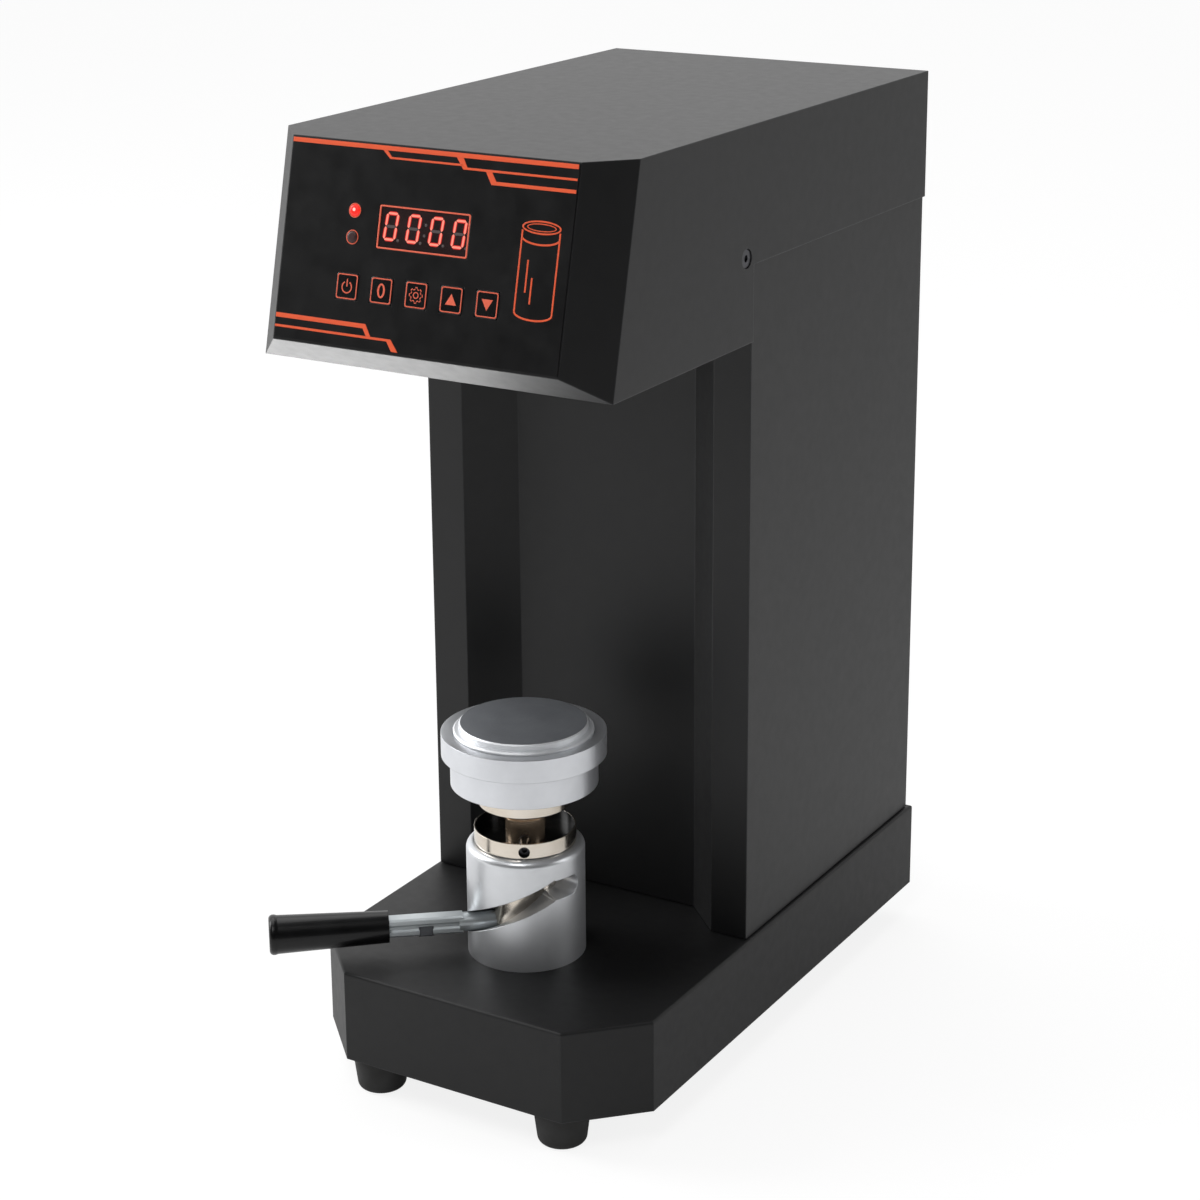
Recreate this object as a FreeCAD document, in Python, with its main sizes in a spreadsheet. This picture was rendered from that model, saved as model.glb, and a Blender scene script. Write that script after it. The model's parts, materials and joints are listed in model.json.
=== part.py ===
import FreeCAD, Part
import math
import os
import re

import Sketcher
from FreeCAD import Placement, Rotation, Vector

# A bench can seamer.
# Millimetres and degrees, +Z up, front of the machine towards -Y, +X to the right of the front.
# The origin is the centre of the base, on the surface that the four feet stand on.

doc = FreeCAD.newDocument("can_seamer")
sheet = doc.addObject("Spreadsheet::Sheet", "sizes")

# Driving dimensions
SIZES = {
    # Rubber feet
    "foot_height": 20, "foot_top_radius": 15, "foot_bottom_radius": 12.5, "foot_round": 3.5,
    "foot_inset_x": 44, "foot_inset_y": 17, "foot_recess_radius": 6, "foot_recess_depth": 8,
    "foot_screw_radius": 2.5, "foot_screw_head": 4.6, "foot_screw_length": 20,
    # Base
    "base_width": 200, "base_length": 344, "base_height": 50, "base_corner": 34,
    "base_sheet": 2, "base_round": 1.5, "bottom_sheet": 1.5,
    # General clearances
    "fit_gap": 0.2, "running_gap": 0.05, "turning_gap": 0.3, "cut_over": 1,
    # Seaming axis, behind the base's front
    "axis_inset": 74,
    # Column
    "throat": 63, "column_back_inset": 5.2, "column_sheet": 1.2, "column_foot_gap": 0.6,
    "recess_side": 21.2, "recess_splay": 22, "recess_depth": 21.3, "column_flange": 15,
    "column_front_rise": 4.5, "column_lap": 29.5,
    # Back cover
    "cover_sheet": 1.2, "vent_length": 44, "vent_width": 4, "vent_pitch": 11, "vent_count": 7,
    "vent_start": 11, "vent_drop": 70.5, "cover_screw_radius": 2, "cover_screw_head": 3.8,
    "cover_screw_length": 7, "cover_screw_inset": 8, "cover_screw_end": 12,
    # Head hood
    "hood_step": 1, "hood_sheet": 1.2, "hood_gap": 0.1,
    "hood_back_gap": 0.3, "notch_gap": 0.4, "head_height": 108.8, "head_overhang": 69.2,
    "lean_angle": 13.3, "face_fall": 13.43, "head_chamfer_x": 18.5, "head_chamfer_y": 20.5,
    "skirt_rise": 39.3,
    "hood_screw_hole": 5, "hood_screw_ahead": 7.9, "hood_screw_rise": 43.4, "hood_screw_radius": 3,
    "hood_screw_head": 4.7, "hood_screw_head_height": 2.2, "hood_screw_length": 8,
    # Underside plate of the head
    "underside_sheet": 1.2, "underside_rise": 1.5, "underside_inset": 3.4,
    "mouth_gap": 10.5, "tongue_gap": 0.6,
    # Side frames
    "frame_thickness": 5, "frame_gap": 0.3, "frame_back_inset": 21.8, "frame_front_inset": 5,
    "frame_arm_inset": 17.2, "frame_arm_rise": 5.5, "frame_arm_height": 52,
    # Head plate
    "head_plate_rise": 20.5, "head_plate_thickness": 8, "head_plate_inset": 2,
    # Spindle, chuck and bearings
    "shaft_radius": 8.5, "shaft_rise": 2, "shaft_edge": 1,
    "bearing_radius": 20, "bearing_width": 12, "bearing_inset": 1, "race_width": 3,
    "race_edge": 0.4, "shield_depth": 0.6, "housing_radius": 26,
    "housing_flange": 40, "housing_flange_height": 7, "housing_drop": 3.5, "housing_pulley_gap": 1.5,
    "bearing_shoulder": 17, "can_height": 168, "countersink_depth": 6.5, "chuck_drop": 10.2,
    "chuck_radius": 26, "chuck_bottom_radius": 24.4, "chuck_lip_height": 6.5,
    "chuck_body_height": 15.5, "chuck_hub_radius": 14, "chuck_web": 3.6, "chuck_band": 2,
    "chuck_step": 1.6, "chuck_step_height": 1, "chuck_cone_height": 1.5,
    "chuck_screw_radius": 3, "chuck_screw_head": 5.4, "chuck_screw_length": 14,
    "chuck_socket_radius": 1.8, "chuck_socket_depth": 1.8,
    # Belt drive
    "belt_drop": 30.3, "belt_width": 8, "belt_depth": 6, "belt_side_gap": 1.3,
    "pulley_height": 16, "spindle_pulley_radius": 32, "motor_pulley_radius": 18,
    "groove_depth": 8, "groove_flare": 1.4, "groove_taper": 1,
    "pulley_hub_radius": 13, "pulley_hub_rise": 4, "motor_inset": 50,
    # Motor
    "motor_radius": 43, "motor_length": 124, "motor_end_height": 14, "motor_end_step": 1.5,
    "motor_shaft_radius": 6, "motor_shaft_depth": 26, "motor_hole_radius": 12,
    # Roller yoke
    "yoke_arm": 58, "yoke_thickness": 8, "yoke_rise": 7, "roller_gap": 4.5,
    "roller_boss_radius": 16, "yoke_shaft_hole": 15, "yoke_corner": 8, "yoke_tail_width": 22,
    "yoke_tail_edge": 7, "yoke_root_width": 44, "yoke_root_lap": 4,
    "pivot_radius": 6, "pivot_head_radius": 10, "pivot_head_height": 1.6, "pivot_head_gap": 0.4,
    "roller_radius": 19.5, "roller_height": 14, "roller_edge": 1.8, "roller_edge_height": 1.4,
    "roller_hub_rise": 1, "roller_hub_edge": 6, "roller_groove": 1.6, "groove_start": 3.8,
    "groove_fall": 1.6, "groove_bed": 2.2, "groove_climb": 1.8, "roller_pin_radius": 4,
    "roller_pin_head": 7, "roller_pin_head_height": 1.4,
    # Crank that swings the yoke
    "crank_arm": 40, "crank_throw": 4.3, "crank_play": 1.5, "crank_pin_radius": 3,
    "crank_pin_gap": 1, "crank_disc_radius": 12, "crank_disc_height": 4,
    "crank_shaft_radius": 4, "crank_shaft_length": 24, "crank_shaft_gap": 1,
    "gearbox_side": 56, "gearbox_belt_gap": 18, "gearbox_boss_radius": 9,
    # Barrel with the helical slot
    "barrel_radius": 31.2, "barrel_cap": 17.5, "barrel_bore": 17.6, "barrel_round": 3.8,
    "slot_cutter": 10.8, "slot_trim": 0.1, "slot_step": 3.6, "slot_low": 16.6,
    "slot_rise": 27.7, "slot_turn": 112, "rest_turn": 21,
    "barrel_screw_radius": 3, "barrel_screw_circle": 24.4, "barrel_screw_head": 5,
    "barrel_screw_length": 11, "barrel_screw_depth": 10,
    # Plunger, lifter spindle, cup and nut
    "plunger_radius": 17.5, "plunger_foot_gap": 4, "plunger_edge": 1, "spindle_radius": 10.3,
    "spindle_depth": 34, "cup_radius": 26.8, "cup_wall": 0.9, "cup_floor": 1.5,
    "cup_gap": 0.4, "cup_height": 8.1, "cup_boss_start": 4, "cup_boss_wall": 0.6,
    "set_screw_radius": 2.9, "set_screw_length": 13, "set_screw_angle": -59,
    "set_screw_rise": 3.6, "set_screw_socket": 1.5, "set_screw_socket_depth": 2.4,
    "nut_radius": 24.2, "nut_height": 11.7, "nut_rise": 12.6, "nut_edge": 0.7,
    # Can tray
    "drum_radius": 38.5, "drum_height": 16.1, "ring_radius": 43, "ring_height": 12.2,
    "ring_wall": 5.9, "ring_floor": 3.8, "ring_floor_bore": 31, "pad_gap": 0.4,
    "pad_rise": 1.7, "pad_radius": 32.8, "pad_top_rise": 3.3, "pad_edge": 0.8, "pad_boss_gap": 1,
    "journal_radius": 8.5, "journal_height": 7, "drum_web": 8.9,
    "thrust_radius": 25, "thrust_bore": 12, "thrust_height": 8, "thrust_race_step": 2,
    # Lever
    "lever_angle": 219, "neck_radius": 5, "neck_inner": 12, "neck_lap": 2,
    "bar_start": 34, "bar_end": 74, "bar_height": 10, "bar_width": 8, "bar_bevel": 1,
    "bar_flute": 1, "flute_bed": 0.9, "flute_mouth": 1.8,
    "notch_start": 50, "notch_end": 57, "notch_depth": 4.6,
    "tang_radius": 6.5, "tang_length": 50, "tang_step": 1, "tang_lap": 1, "tang_end_gap": 1,
    "grip_start": 73, "grip_end": 135.4, "grip_inner_radius": 8.4, "grip_outer_radius": 10.1,
    "grip_bead": 0.4, "grip_bead_length": 3, "grip_round": 2.2,
    "bush_radius": 6.3, "bush_inner": 12.4, "bush_outer": 16.1,
    # Control panel
    "overlay_side": 0.55, "overlay_top": 0.8, "overlay_low": 1, "overlay_sheet": 0.4,
    "display_left": -26, "display_width": 51, "display_top": 28.4, "display_height": 20.7,
    "display_depth": 8, "lamp_x": -40, "lamp_high": 32.6, "lamp_low": 45.2, "lamp_radius": 2.9,
    "lamp_dome": 1.3, "key_width": 12.6, "key_height": 12.8, "key_first": -40.1,
    "key_pitch": 19.7, "key_row": 68.6, "key_round": 1.6, "key_proud": 0.2, "key_travel": 0.5,
    "key_skirt": 1.2, "key_flange": 1.4, "key_stem_radius": 2, "panel_gap": 0.12,
    "board_gap": 8, "board_sheet": 1.6, "board_side": 5.95, "board_top": 8, "board_low": 6,
    "standoff_radius": 3, "standoff_inset": 5,
    # Power inlet with its switch
    "inlet_side": 45.7, "inlet_rise": 48, "inlet_width": 28, "inlet_height": 48,
    "inlet_flange": 3, "inlet_proud": 1.6, "inlet_depth": 26, "socket_width": 22,
    "socket_height": 16, "socket_depth": 15, "socket_drop": 11, "socket_corner": 4,
    "blade_length": 12, "blade_width": 4, "rocker_width": 12.6,
    "rocker_height": 17.6, "rocker_rise": 11.5, "rocker_depth": 9,
    "rocker_proud_angle": 21, "rocker_level_angle": 6.5, "rocker_neck": 2, "rocker_dip": 0.3,
    "rocker_pin_radius": 1, "rocker_pin_reach": 1.2,
    "blade_spread": 7, "blade_offset": 2, "blade_thickness": 1.9,
}

# Sizes worked out from the driving dimensions
FORMULAS = {
    "deck": "foot_height + base_height",
    "foot_reach_x": "base_width / 2 - foot_inset_x",
    "foot_reach_y": "base_length / 2 - foot_inset_y",
    "axis_reach": "base_length / 2 - axis_inset",
    "column_front": "axis_reach - throat",
    "column_back": "base_length / 2 - column_back_inset",
    "head_bottom": "chuck_bottom + chuck_drop",
    "machine_height": "head_bottom + head_height",
    "head_top_reach": "axis_reach + head_overhang",
    "face_length": "(head_height - face_fall) / cos(lean_angle * 1deg)",
    "hood_width": "base_width - 2 * hood_step",
    "hood_screw_y": "column_front + hood_screw_ahead",
    "face_bottom_z": "machine_height - face_length * cos(lean_angle * 1deg)",
    "face_bottom_y": "-head_top_reach - face_length * sin(lean_angle * 1deg)",
    "side_bottom_y": "-head_top_reach - head_height * tan(lean_angle * 1deg) + head_chamfer_y",
    "column_half": "hood_width / 2 - hood_sheet - hood_gap",
    "column_top": "skirt_bottom + column_lap",
    "recess_mouth": "2 * (column_half - recess_side)",
    "recess_floor": "recess_mouth - 2 * recess_splay",
    "column_front_top": "head_bottom + column_front_rise",
    "hood_back": "column_back + hood_back_gap + hood_sheet",
    "skirt_bottom": "head_bottom + skirt_rise",
    "cover_top": "skirt_bottom - turning_gap",
    "frame_outer": "column_half - column_sheet - frame_gap",
    "frame_top": "head_bottom + frame_arm_rise + frame_arm_height",
    "frame_back": "column_back - frame_back_inset",
    "frame_front": "column_front - frame_front_inset",
    "frame_arm_reach": "head_top_reach - frame_arm_inset",
    "head_plate_front": "frame_arm_reach - head_plate_inset",
    "plate_bottom": "head_bottom + head_plate_rise",
    "plate_top": "plate_bottom + head_plate_thickness",
    "underside_bottom": "head_bottom + underside_rise",
    "barrel_height": "slot_low + slot_rise + barrel_cap",
    "barrel_top": "deck + barrel_height",
    "lever_level": "deck + slot_low",
    "cup_bottom": "barrel_top + cup_gap",
    "cup_top": "cup_bottom + cup_height",
    "nut_bottom": "cup_top + nut_rise",
    "nut_top": "nut_bottom + nut_height",
    "drum_bottom": "nut_top + fit_gap",
    "drum_top": "drum_bottom + drum_height",
    "ring_top": "drum_top + ring_height",
    "pad_step": "ring_top + pad_rise",
    "pad_top": "pad_step + pad_top_rise",
    "thrust_bottom": "drum_bottom + drum_web",
    "thrust_top": "thrust_bottom + thrust_height",
    "chuck_bottom": "pad_top + slot_rise + can_height - countersink_depth",
    "shaft_bottom": "chuck_bottom + chuck_web",
    "housing_bottom": "plate_bottom - housing_drop",
    "housing_top": "pulley_bottom - housing_pulley_gap",
    "belt_level": "machine_height - belt_drop",
    "motor_reach": "frame_back - motor_inset",
    "gearbox_height": "belt_level - gearbox_belt_gap - plate_top",
    "pulley_bottom": "belt_level - pulley_height / 2",
    "pulley_top": "belt_level + pulley_height / 2",
    "yoke_pivot_reach": "axis_reach - yoke_arm",
    "crank_reach": "crank_arm - yoke_pivot_reach",
    "roller_reach": "chuck_radius + roller_radius + roller_gap",
    "underside_mouth_radius": "roller_radius + mouth_gap",
    "yoke_bottom": "head_bottom + yoke_rise",
    "yoke_top": "yoke_bottom + yoke_thickness",
    "roller_top": "yoke_bottom - fit_gap",
    "roller_bottom": "roller_top - roller_height",
    "crank_disc_bottom": "yoke_top + turning_gap * 2",
    "key_flange_top": "-hood_sheet - fit_gap",
    "board_front": "-hood_sheet - board_gap",
    "overlay_width": "hood_width - 2 * head_chamfer_x - 2 * overlay_side",
    "overlay_bottom": "face_length - overlay_low",
    "board_width": "overlay_width - 2 * board_side",
    "board_bottom": "face_length - board_low",
    "inlet_x": "column_half - inlet_side",
    "inlet_level": "deck + inlet_rise",
}

WORDS = re.compile("[a-z][a-z_]*[a-z]")


def bound(text):
    """Write the names of cells in a formula as references to the sheet."""
    def refer(match):
        word = match.group(0)
        return "sizes." + word if word in SIZES or word in FORMULAS else word
    return WORDS.sub(refer, text)


def fill_sheet():
    """Put every size in a cell of its own, with the size's name as the cell's alias."""
    cells = [(name, str(number)) for name, number in SIZES.items()]
    cells += [(name, "=" + formula) for name, formula in FORMULAS.items()]
    for row, (name, content) in enumerate(cells, start=1):
        sheet.set(f"A{row}", name)
        sheet.setAlias(f"B{row}", name)
        sheet.set(f"B{row}", content)
    doc.recompute()


def value(text):
    """The number that a formula of cell names gives."""
    number = sheet.evalExpression(bound(text))
    return float(getattr(number, "Value", number))


def point(x, y):
    return Vector(value(x), value(y), 0)


# Sketches

def new_body(name, x="0", y="0", z="0", rotation=None):
    """An empty body whose origin is at a place given by formulas."""
    body = doc.addObject("PartDesign::Body", name)
    body.Label = name
    if rotation is not None:
        body.Placement = Placement(Vector(), rotation)
    for axis, text in (("x", x), ("y", y), ("z", z)):
        body.setExpression(f"Placement.Base.{axis}", bound(text))
    return body


def new_sketch(body, plane, offset=None):
    """A sketch on one of the body's own origin planes, moved along the plane's normal."""
    sketch = body.newObject("Sketcher::SketchObject", f"{body.Name}_sketch")
    for feature in body.Origin.OriginFeatures:
        if feature.Role == plane:
            sketch.AttachmentSupport = [(feature, "")]
    sketch.MapMode = "FlatFace"
    if offset is not None:
        sketch.setExpression("AttachmentOffset.Base.z", bound(offset))
    return sketch


def radial_sketch(body, angle, distance="0"):
    """A sketch that faces away from the upright axis, across Y and up Z before it is turned."""
    sketch = new_sketch(body, "YZ_Plane")
    turn = Rotation(Vector(0, 1, 0), angle)
    sketch.AttachmentOffset = Placement(turn.multVec(Vector(0, 0, value(distance))), turn)
    return sketch


def pin_point(sketch, geometry, place, x, y):
    """Tie a point of a sketch to its two coordinates."""
    for kind, text in (("DistanceX", x), ("DistanceY", y)):
        constraint = Sketcher.Constraint(kind, -1, 1, geometry, place, value(text))
        index = sketch.addConstraint(constraint)
        sketch.setExpression(f"Constraints[{index}]", bound(text))


def polygon(sketch, corners):
    """A closed outline of straight lines through the corners."""
    first = sketch.GeometryCount
    count = len(corners)
    for i, corner in enumerate(corners):
        following = corners[(i + 1) % count]
        sketch.addGeometry(Part.LineSegment(point(*corner), point(*following)))
    for i, corner in enumerate(corners):
        ends = (first + i, 2, first + (i + 1) % count, 1)
        sketch.addConstraint(Sketcher.Constraint("Coincident", *ends))
        pin_point(sketch, first + i, 1, *corner)


def size_arc(sketch, geometry, radius):
    constraint = Sketcher.Constraint("Radius", geometry, value(radius))
    index = sketch.addConstraint(constraint)
    sketch.setExpression(f"Constraints[{index}]", bound(radius))


def circle(sketch, x, y, radius):
    geometry = sketch.addGeometry(Part.Circle(point(x, y), Vector(0, 0, 1), value(radius)))
    pin_point(sketch, geometry, 3, x, y)
    size_arc(sketch, geometry, radius)


def racetrack(sketch, first, first_radius, second, second_radius):
    """The outline round two circles and their outer tangents, as a slot or a belt has."""
    a = point(*first)
    b = point(*second)
    ra = value(first_radius)
    rb = value(second_radius)
    heading = math.atan2(b.y - a.y, b.x - a.x)
    spread = math.acos((ra - rb) / a.distanceToPoint(b))
    normal = Vector(0, 0, 1)
    ends = []
    for centre, radius in ((a, ra), (b, rb)):
        for side in (1, -1):
            angle = heading + side * spread
            ends.append(centre + Vector(math.cos(angle), math.sin(angle), 0) * radius)
    a_left, a_right, b_left, b_right = ends
    left = sketch.addGeometry(Part.LineSegment(b_left, a_left))
    right = sketch.addGeometry(Part.LineSegment(a_right, b_right))
    back_arc = Part.ArcOfCircle(
        Part.Circle(a, normal, ra), heading + spread, heading - spread + 2 * math.pi)
    back = sketch.addGeometry(back_arc)
    front_arc = Part.ArcOfCircle(
        Part.Circle(b, normal, rb), heading - spread, heading + spread)
    front = sketch.addGeometry(front_arc)
    for joint in ((left, 2, back, 1), (back, 2, right, 1), (right, 2, front, 1),
                  (front, 2, left, 1)):
        sketch.addConstraint(Sketcher.Constraint("Tangent", *joint))
    pin_point(sketch, back, 3, *first)
    pin_point(sketch, front, 3, *second)
    size_arc(sketch, back, first_radius)
    size_arc(sketch, front, second_radius)


# Features

def add_pad(body, sketch, length, side="One side", reverse=False):
    pad = body.newObject("PartDesign::Pad", f"{body.Name}_pad")
    pad.Profile = sketch
    pad.SideType = side
    pad.Reversed = reverse
    pad.setExpression("Length", bound(length))
    return pad


def add_pocket(body, sketch, length=None, side="One side", reverse=False):
    """Cut a sketch's shape out of the body, to a depth or, without one, right through."""
    pocket = body.newObject("PartDesign::Pocket", f"{body.Name}_pocket")
    pocket.Profile = sketch
    pocket.SideType = side
    pocket.Reversed = reverse
    if length is None:
        pocket.Type = "ThroughAll"
    else:
        pocket.setExpression("Length", bound(length))
    return pocket


def add_fillet(body, feature, radius, pick):
    """Round those edges of the body's last feature that the test picks."""
    doc.recompute()
    names = [f"Edge{i}" for i, edge in enumerate(feature.Shape.Edges, start=1) if pick(edge)]
    fillet = body.newObject("PartDesign::Fillet", f"{body.Name}_round")
    fillet.Base = (feature, names)
    fillet.setExpression("Radius", bound(radius))
    return fillet


def add_shell(body, feature, sheet_size, pick):
    """Hollow the body to a sheet's thickness, open at the faces that the test picks."""
    doc.recompute()
    names = [f"Face{i}" for i, face in enumerate(feature.Shape.Faces, start=1) if pick(face)]
    shell = body.newObject("PartDesign::Thickness", f"{body.Name}_shell")
    shell.Base = (feature, names)
    shell.Join = "Intersection"
    shell.Reversed = True
    shell.setExpression("Value", bound(sheet_size))
    return shell


def add_turning(body, corners, kind="PartDesign::Revolution", sweep=None, start=None):
    """Turn an outline of (radius, height) corners about the body's own upright axis."""
    sketch = new_sketch(body, "XZ_Plane")
    if start is not None:
        sketch.AttachmentOffset = Placement(Vector(), Rotation(Vector(0, 1, 0), start))
    polygon(sketch, corners)
    feature = body.newObject(kind, f"{body.Name}_turning")
    feature.Profile = sketch
    feature.ReferenceAxis = (sketch, ["V_Axis"])
    if sweep is None:
        feature.Angle = 360
    else:
        feature.setExpression("Angle", bound(sweep))
    return feature


def near(a, b, slack=0.01):
    return abs(a - b) < slack


def level(height):
    """Picks what lies flat at a height."""
    def pick(shape):
        box = shape.BoundBox
        return near(box.ZMin, height) and near(box.ZMax, height)
    return pick


# Whole pieces

def turned(name, corners, x="0", y="0", z="0"):
    body = new_body(name, x, y, z)
    add_turning(body, corners)
    return body


def plate(name, corners, bottom, thickness, circles=()):
    """A flat plate with round holes, each given as x, y and radius."""
    body = new_body(name, z=bottom)
    sketch = new_sketch(body, "XY_Plane")
    polygon(sketch, corners)
    for hole in circles:
        circle(sketch, *hole)
    add_pad(body, sketch, thickness)
    return body


def group(name, pieces):
    """Several like pieces as one node of separate solids."""
    compound = doc.addObject("Part::Compound", name)
    compound.Label = name
    compound.Links = pieces
    return compound


def screw(name, radius, length, head, head_height, place, socket="0.8", rotation=None):
    """A screw with its head's underside at its origin and a socket that leaves a share of the head."""
    body = new_body(name, *place, rotation=rotation)
    add_turning(body, [
        ("0", f"-({length})"), (radius, f"-({length})"), (radius, "0"), (head, "0"),
        (head, head_height), (f"({radius}) * 0.6", head_height),
        (f"({radius}) * 0.6", f"({head_height}) * {socket}"), ("0", f"({head_height}) * {socket}"),
    ])
    return body


# Base

def base_outline(inset="0"):
    """The base seen from above, with its two front corners cut; inset moves every side in."""
    half = f"(base_width / 2 - ({inset}))"
    long = f"(base_length / 2 - ({inset}))"
    corner = f"(base_corner - ({inset}) * (2 - sqrt(2)))"
    return [
        (f"-{half}", long), (f"-{half}", f"-{long} + {corner}"),
        (f"-{half} + {corner}", f"-{long}"), (f"{half} - {corner}", f"-{long}"),
        (half, f"-{long} + {corner}"), (half, long),
    ]


def foot_places():
    for end, side_y in (("front", "-"), ("rear", "")):
        for hand, side_x in (("left", "-"), ("right", "")):
            yield f"{end}_{hand}", f"{side_x}foot_reach_x", f"{side_y}foot_reach_y"


def barrel_screw_places():
    """Four places on a circle about the seaming axis, turned away from the slot's low end."""
    diagonal = "barrel_screw_circle * sqrt(0.5)"
    for side_x in ("-", ""):
        for side_y in ("-", "+"):
            yield f"{side_x}{diagonal}", f"-axis_reach {side_y} {diagonal}"


def make_base():
    shell = new_body("base_shell", z="foot_height")
    sketch = new_sketch(shell, "XY_Plane")
    polygon(sketch, base_outline())
    block = add_pad(shell, sketch, "base_height")
    tray = add_shell(shell, block, "base_sheet", level(0))
    holes = new_sketch(shell, "XY_Plane", "base_height")
    for x, y in barrel_screw_places():
        circle(holes, x, y, "barrel_screw_radius + fit_gap")
    drilled = add_pocket(shell, holes, "base_sheet * 2")
    top = value("base_height")
    half = value("base_width / 2")
    long = value("base_length / 2")
    corner = value("base_corner")

    def outer_rim(edge):
        middle = edge.CenterOfMass
        on_side = near(abs(middle.x), half) or near(abs(middle.y), long)
        on_corner = near(abs(middle.x), half - corner / 2) and middle.y < 0
        return level(top)(edge) and len(edge.Vertexes) == 2 and (on_side or on_corner)

    add_fillet(shell, drilled, "base_round", outer_rim)
    holes = [(x, y, "foot_screw_radius + fit_gap") for _, x, y in foot_places()]
    plate("base_bottom_plate", base_outline("base_sheet + fit_gap"), "foot_height",
          "bottom_sheet", holes)
    parts = [shell, doc.getObject("base_bottom_plate")]
    screws = []
    for name, x, y in foot_places():
        foot = turned(f"foot_{name}", [
            ("foot_screw_radius + fit_gap", "foot_height"), ("foot_top_radius", "foot_height"),
            ("foot_bottom_radius", "0"), ("foot_recess_radius", "0"),
            ("foot_recess_radius", "foot_recess_depth"),
            ("foot_screw_radius + fit_gap", "foot_recess_depth"),
        ], x, y)
        doc.recompute()
        turning = foot.Tip
        lowest = value("foot_bottom_radius")
        add_fillet(foot, turning, "foot_round", lambda edge: level(0)(edge) and near(
            edge.BoundBox.XLength, 2 * lowest, 0.1))
        parts.append(foot)
        screws.append(screw(
            f"foot_screw_{name}", "foot_screw_radius", "foot_screw_length", "foot_screw_head",
            "foot_screw_radius * 1.2", (x, y, "foot_recess_depth"),
            rotation=Rotation(Vector(1, 0, 0), 180)))
    parts.append(group("foot_screws", screws))
    return parts


# Column

def column_outline(inset="0"):
    half = f"(column_half - ({inset}))"
    return [
        (f"-{half}", "column_back"), (f"-{half}", "-column_front"),
        ("-recess_mouth / 2", "-column_front"),
        ("-recess_floor / 2", "-column_front + recess_depth"),
        ("recess_floor / 2", "-column_front + recess_depth"),
        ("recess_mouth / 2", "-column_front"),
        (half, "-column_front"), (half, "column_back"),
    ]


def make_column():
    shell = new_body("column_shell", z="deck + column_foot_gap")
    sketch = new_sketch(shell, "XY_Plane")
    polygon(sketch, column_outline())
    block = add_pad(shell, sketch, "column_top - deck - column_foot_gap")
    tall = value("column_top - deck - column_foot_gap")
    ends = (level(0), level(tall))
    add_shell(shell, block, "column_sheet", lambda face: ends[0](face) or ends[1](face))
    window = new_sketch(shell, "XZ_Plane", "-column_back")
    half = "(column_half - column_flange)"
    polygon(window, [
        (f"-{half}", "-cut_over"), (half, "-cut_over"), (half, "column_top"),
        (f"-{half}", "column_top"),
    ])
    for x, z in cover_screw_places():
        circle(window, x, f"{z} - deck - column_foot_gap", "cover_screw_radius + fit_gap")
    add_pocket(shell, window, "column_sheet * 3", side="Symmetric")
    mouth = new_sketch(shell, "XY_Plane", "column_front_top - deck - column_foot_gap")
    behind = "-column_front + recess_depth + column_sheet + fit_gap"
    inner = "(column_half - column_sheet)"
    polygon(mouth, [
        (f"-{inner}", "-column_front - cut_over"), (inner, "-column_front - cut_over"),
        (inner, behind), (f"-{inner}", behind),
    ])
    add_pocket(shell, mouth, "column_top", reverse=True)

    cover = new_body("column_back_cover", y="column_back", z="deck + column_foot_gap")
    sketch = new_sketch(cover, "XZ_Plane")
    high = "(cover_top - deck - column_foot_gap)"
    polygon(sketch, [
        ("-column_half", "0"), ("column_half", "0"), ("column_half", high),
        ("-column_half", high),
    ])
    inlet_low = "inlet_level - deck - column_foot_gap - inlet_height / 2"
    inlet_high = "inlet_level - deck - column_foot_gap + inlet_height / 2"
    polygon(sketch, [
        ("inlet_x - inlet_width / 2 - fit_gap", f"{inlet_low} - fit_gap"),
        ("inlet_x + inlet_width / 2 + fit_gap", f"{inlet_low} - fit_gap"),
        ("inlet_x + inlet_width / 2 + fit_gap", f"{inlet_high} + fit_gap"),
        ("inlet_x - inlet_width / 2 - fit_gap", f"{inlet_high} + fit_gap"),
    ])
    for x, z in cover_screw_places():
        circle(sketch, x, f"{z} - deck - column_foot_gap", "cover_screw_radius + fit_gap")
    for side in ("-", ""):
        for i in range(int(value("vent_count"))):
            z = f"cover_top - vent_drop - {i} * vent_pitch - deck - column_foot_gap"
            near_end = (f"{side}vent_start", z)
            far_end = (f"{side}(vent_start + vent_length)", z)
            racetrack(sketch, near_end, "vent_width / 2", far_end, "vent_width / 2")
    add_pad(cover, sketch, "cover_sheet", reverse=True)
    outward = Rotation(Vector(1, 0, 0), -90)
    screws = [
        screw(f"back_cover_screw_{i}", "cover_screw_radius", "cover_screw_length",
              "cover_screw_head", "cover_screw_radius", (x, "column_back + cover_sheet", z),
              socket="0.4", rotation=outward)
        for i, (x, z) in enumerate(cover_screw_places(), start=1)
    ]
    return [shell, cover, group("back_cover_screws", screws)]


def cover_screw_places():
    """Three screws down each edge of the back cover, through the column's flanges."""
    x = "(column_half - cover_screw_inset)"
    low = "(deck + column_foot_gap + cover_screw_end)"
    high = "(cover_top - cover_screw_end)"
    for side in ("-", ""):
        for z in (low, f"({low} + {high}) / 2", high):
            yield f"{side}{x}", z


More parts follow.
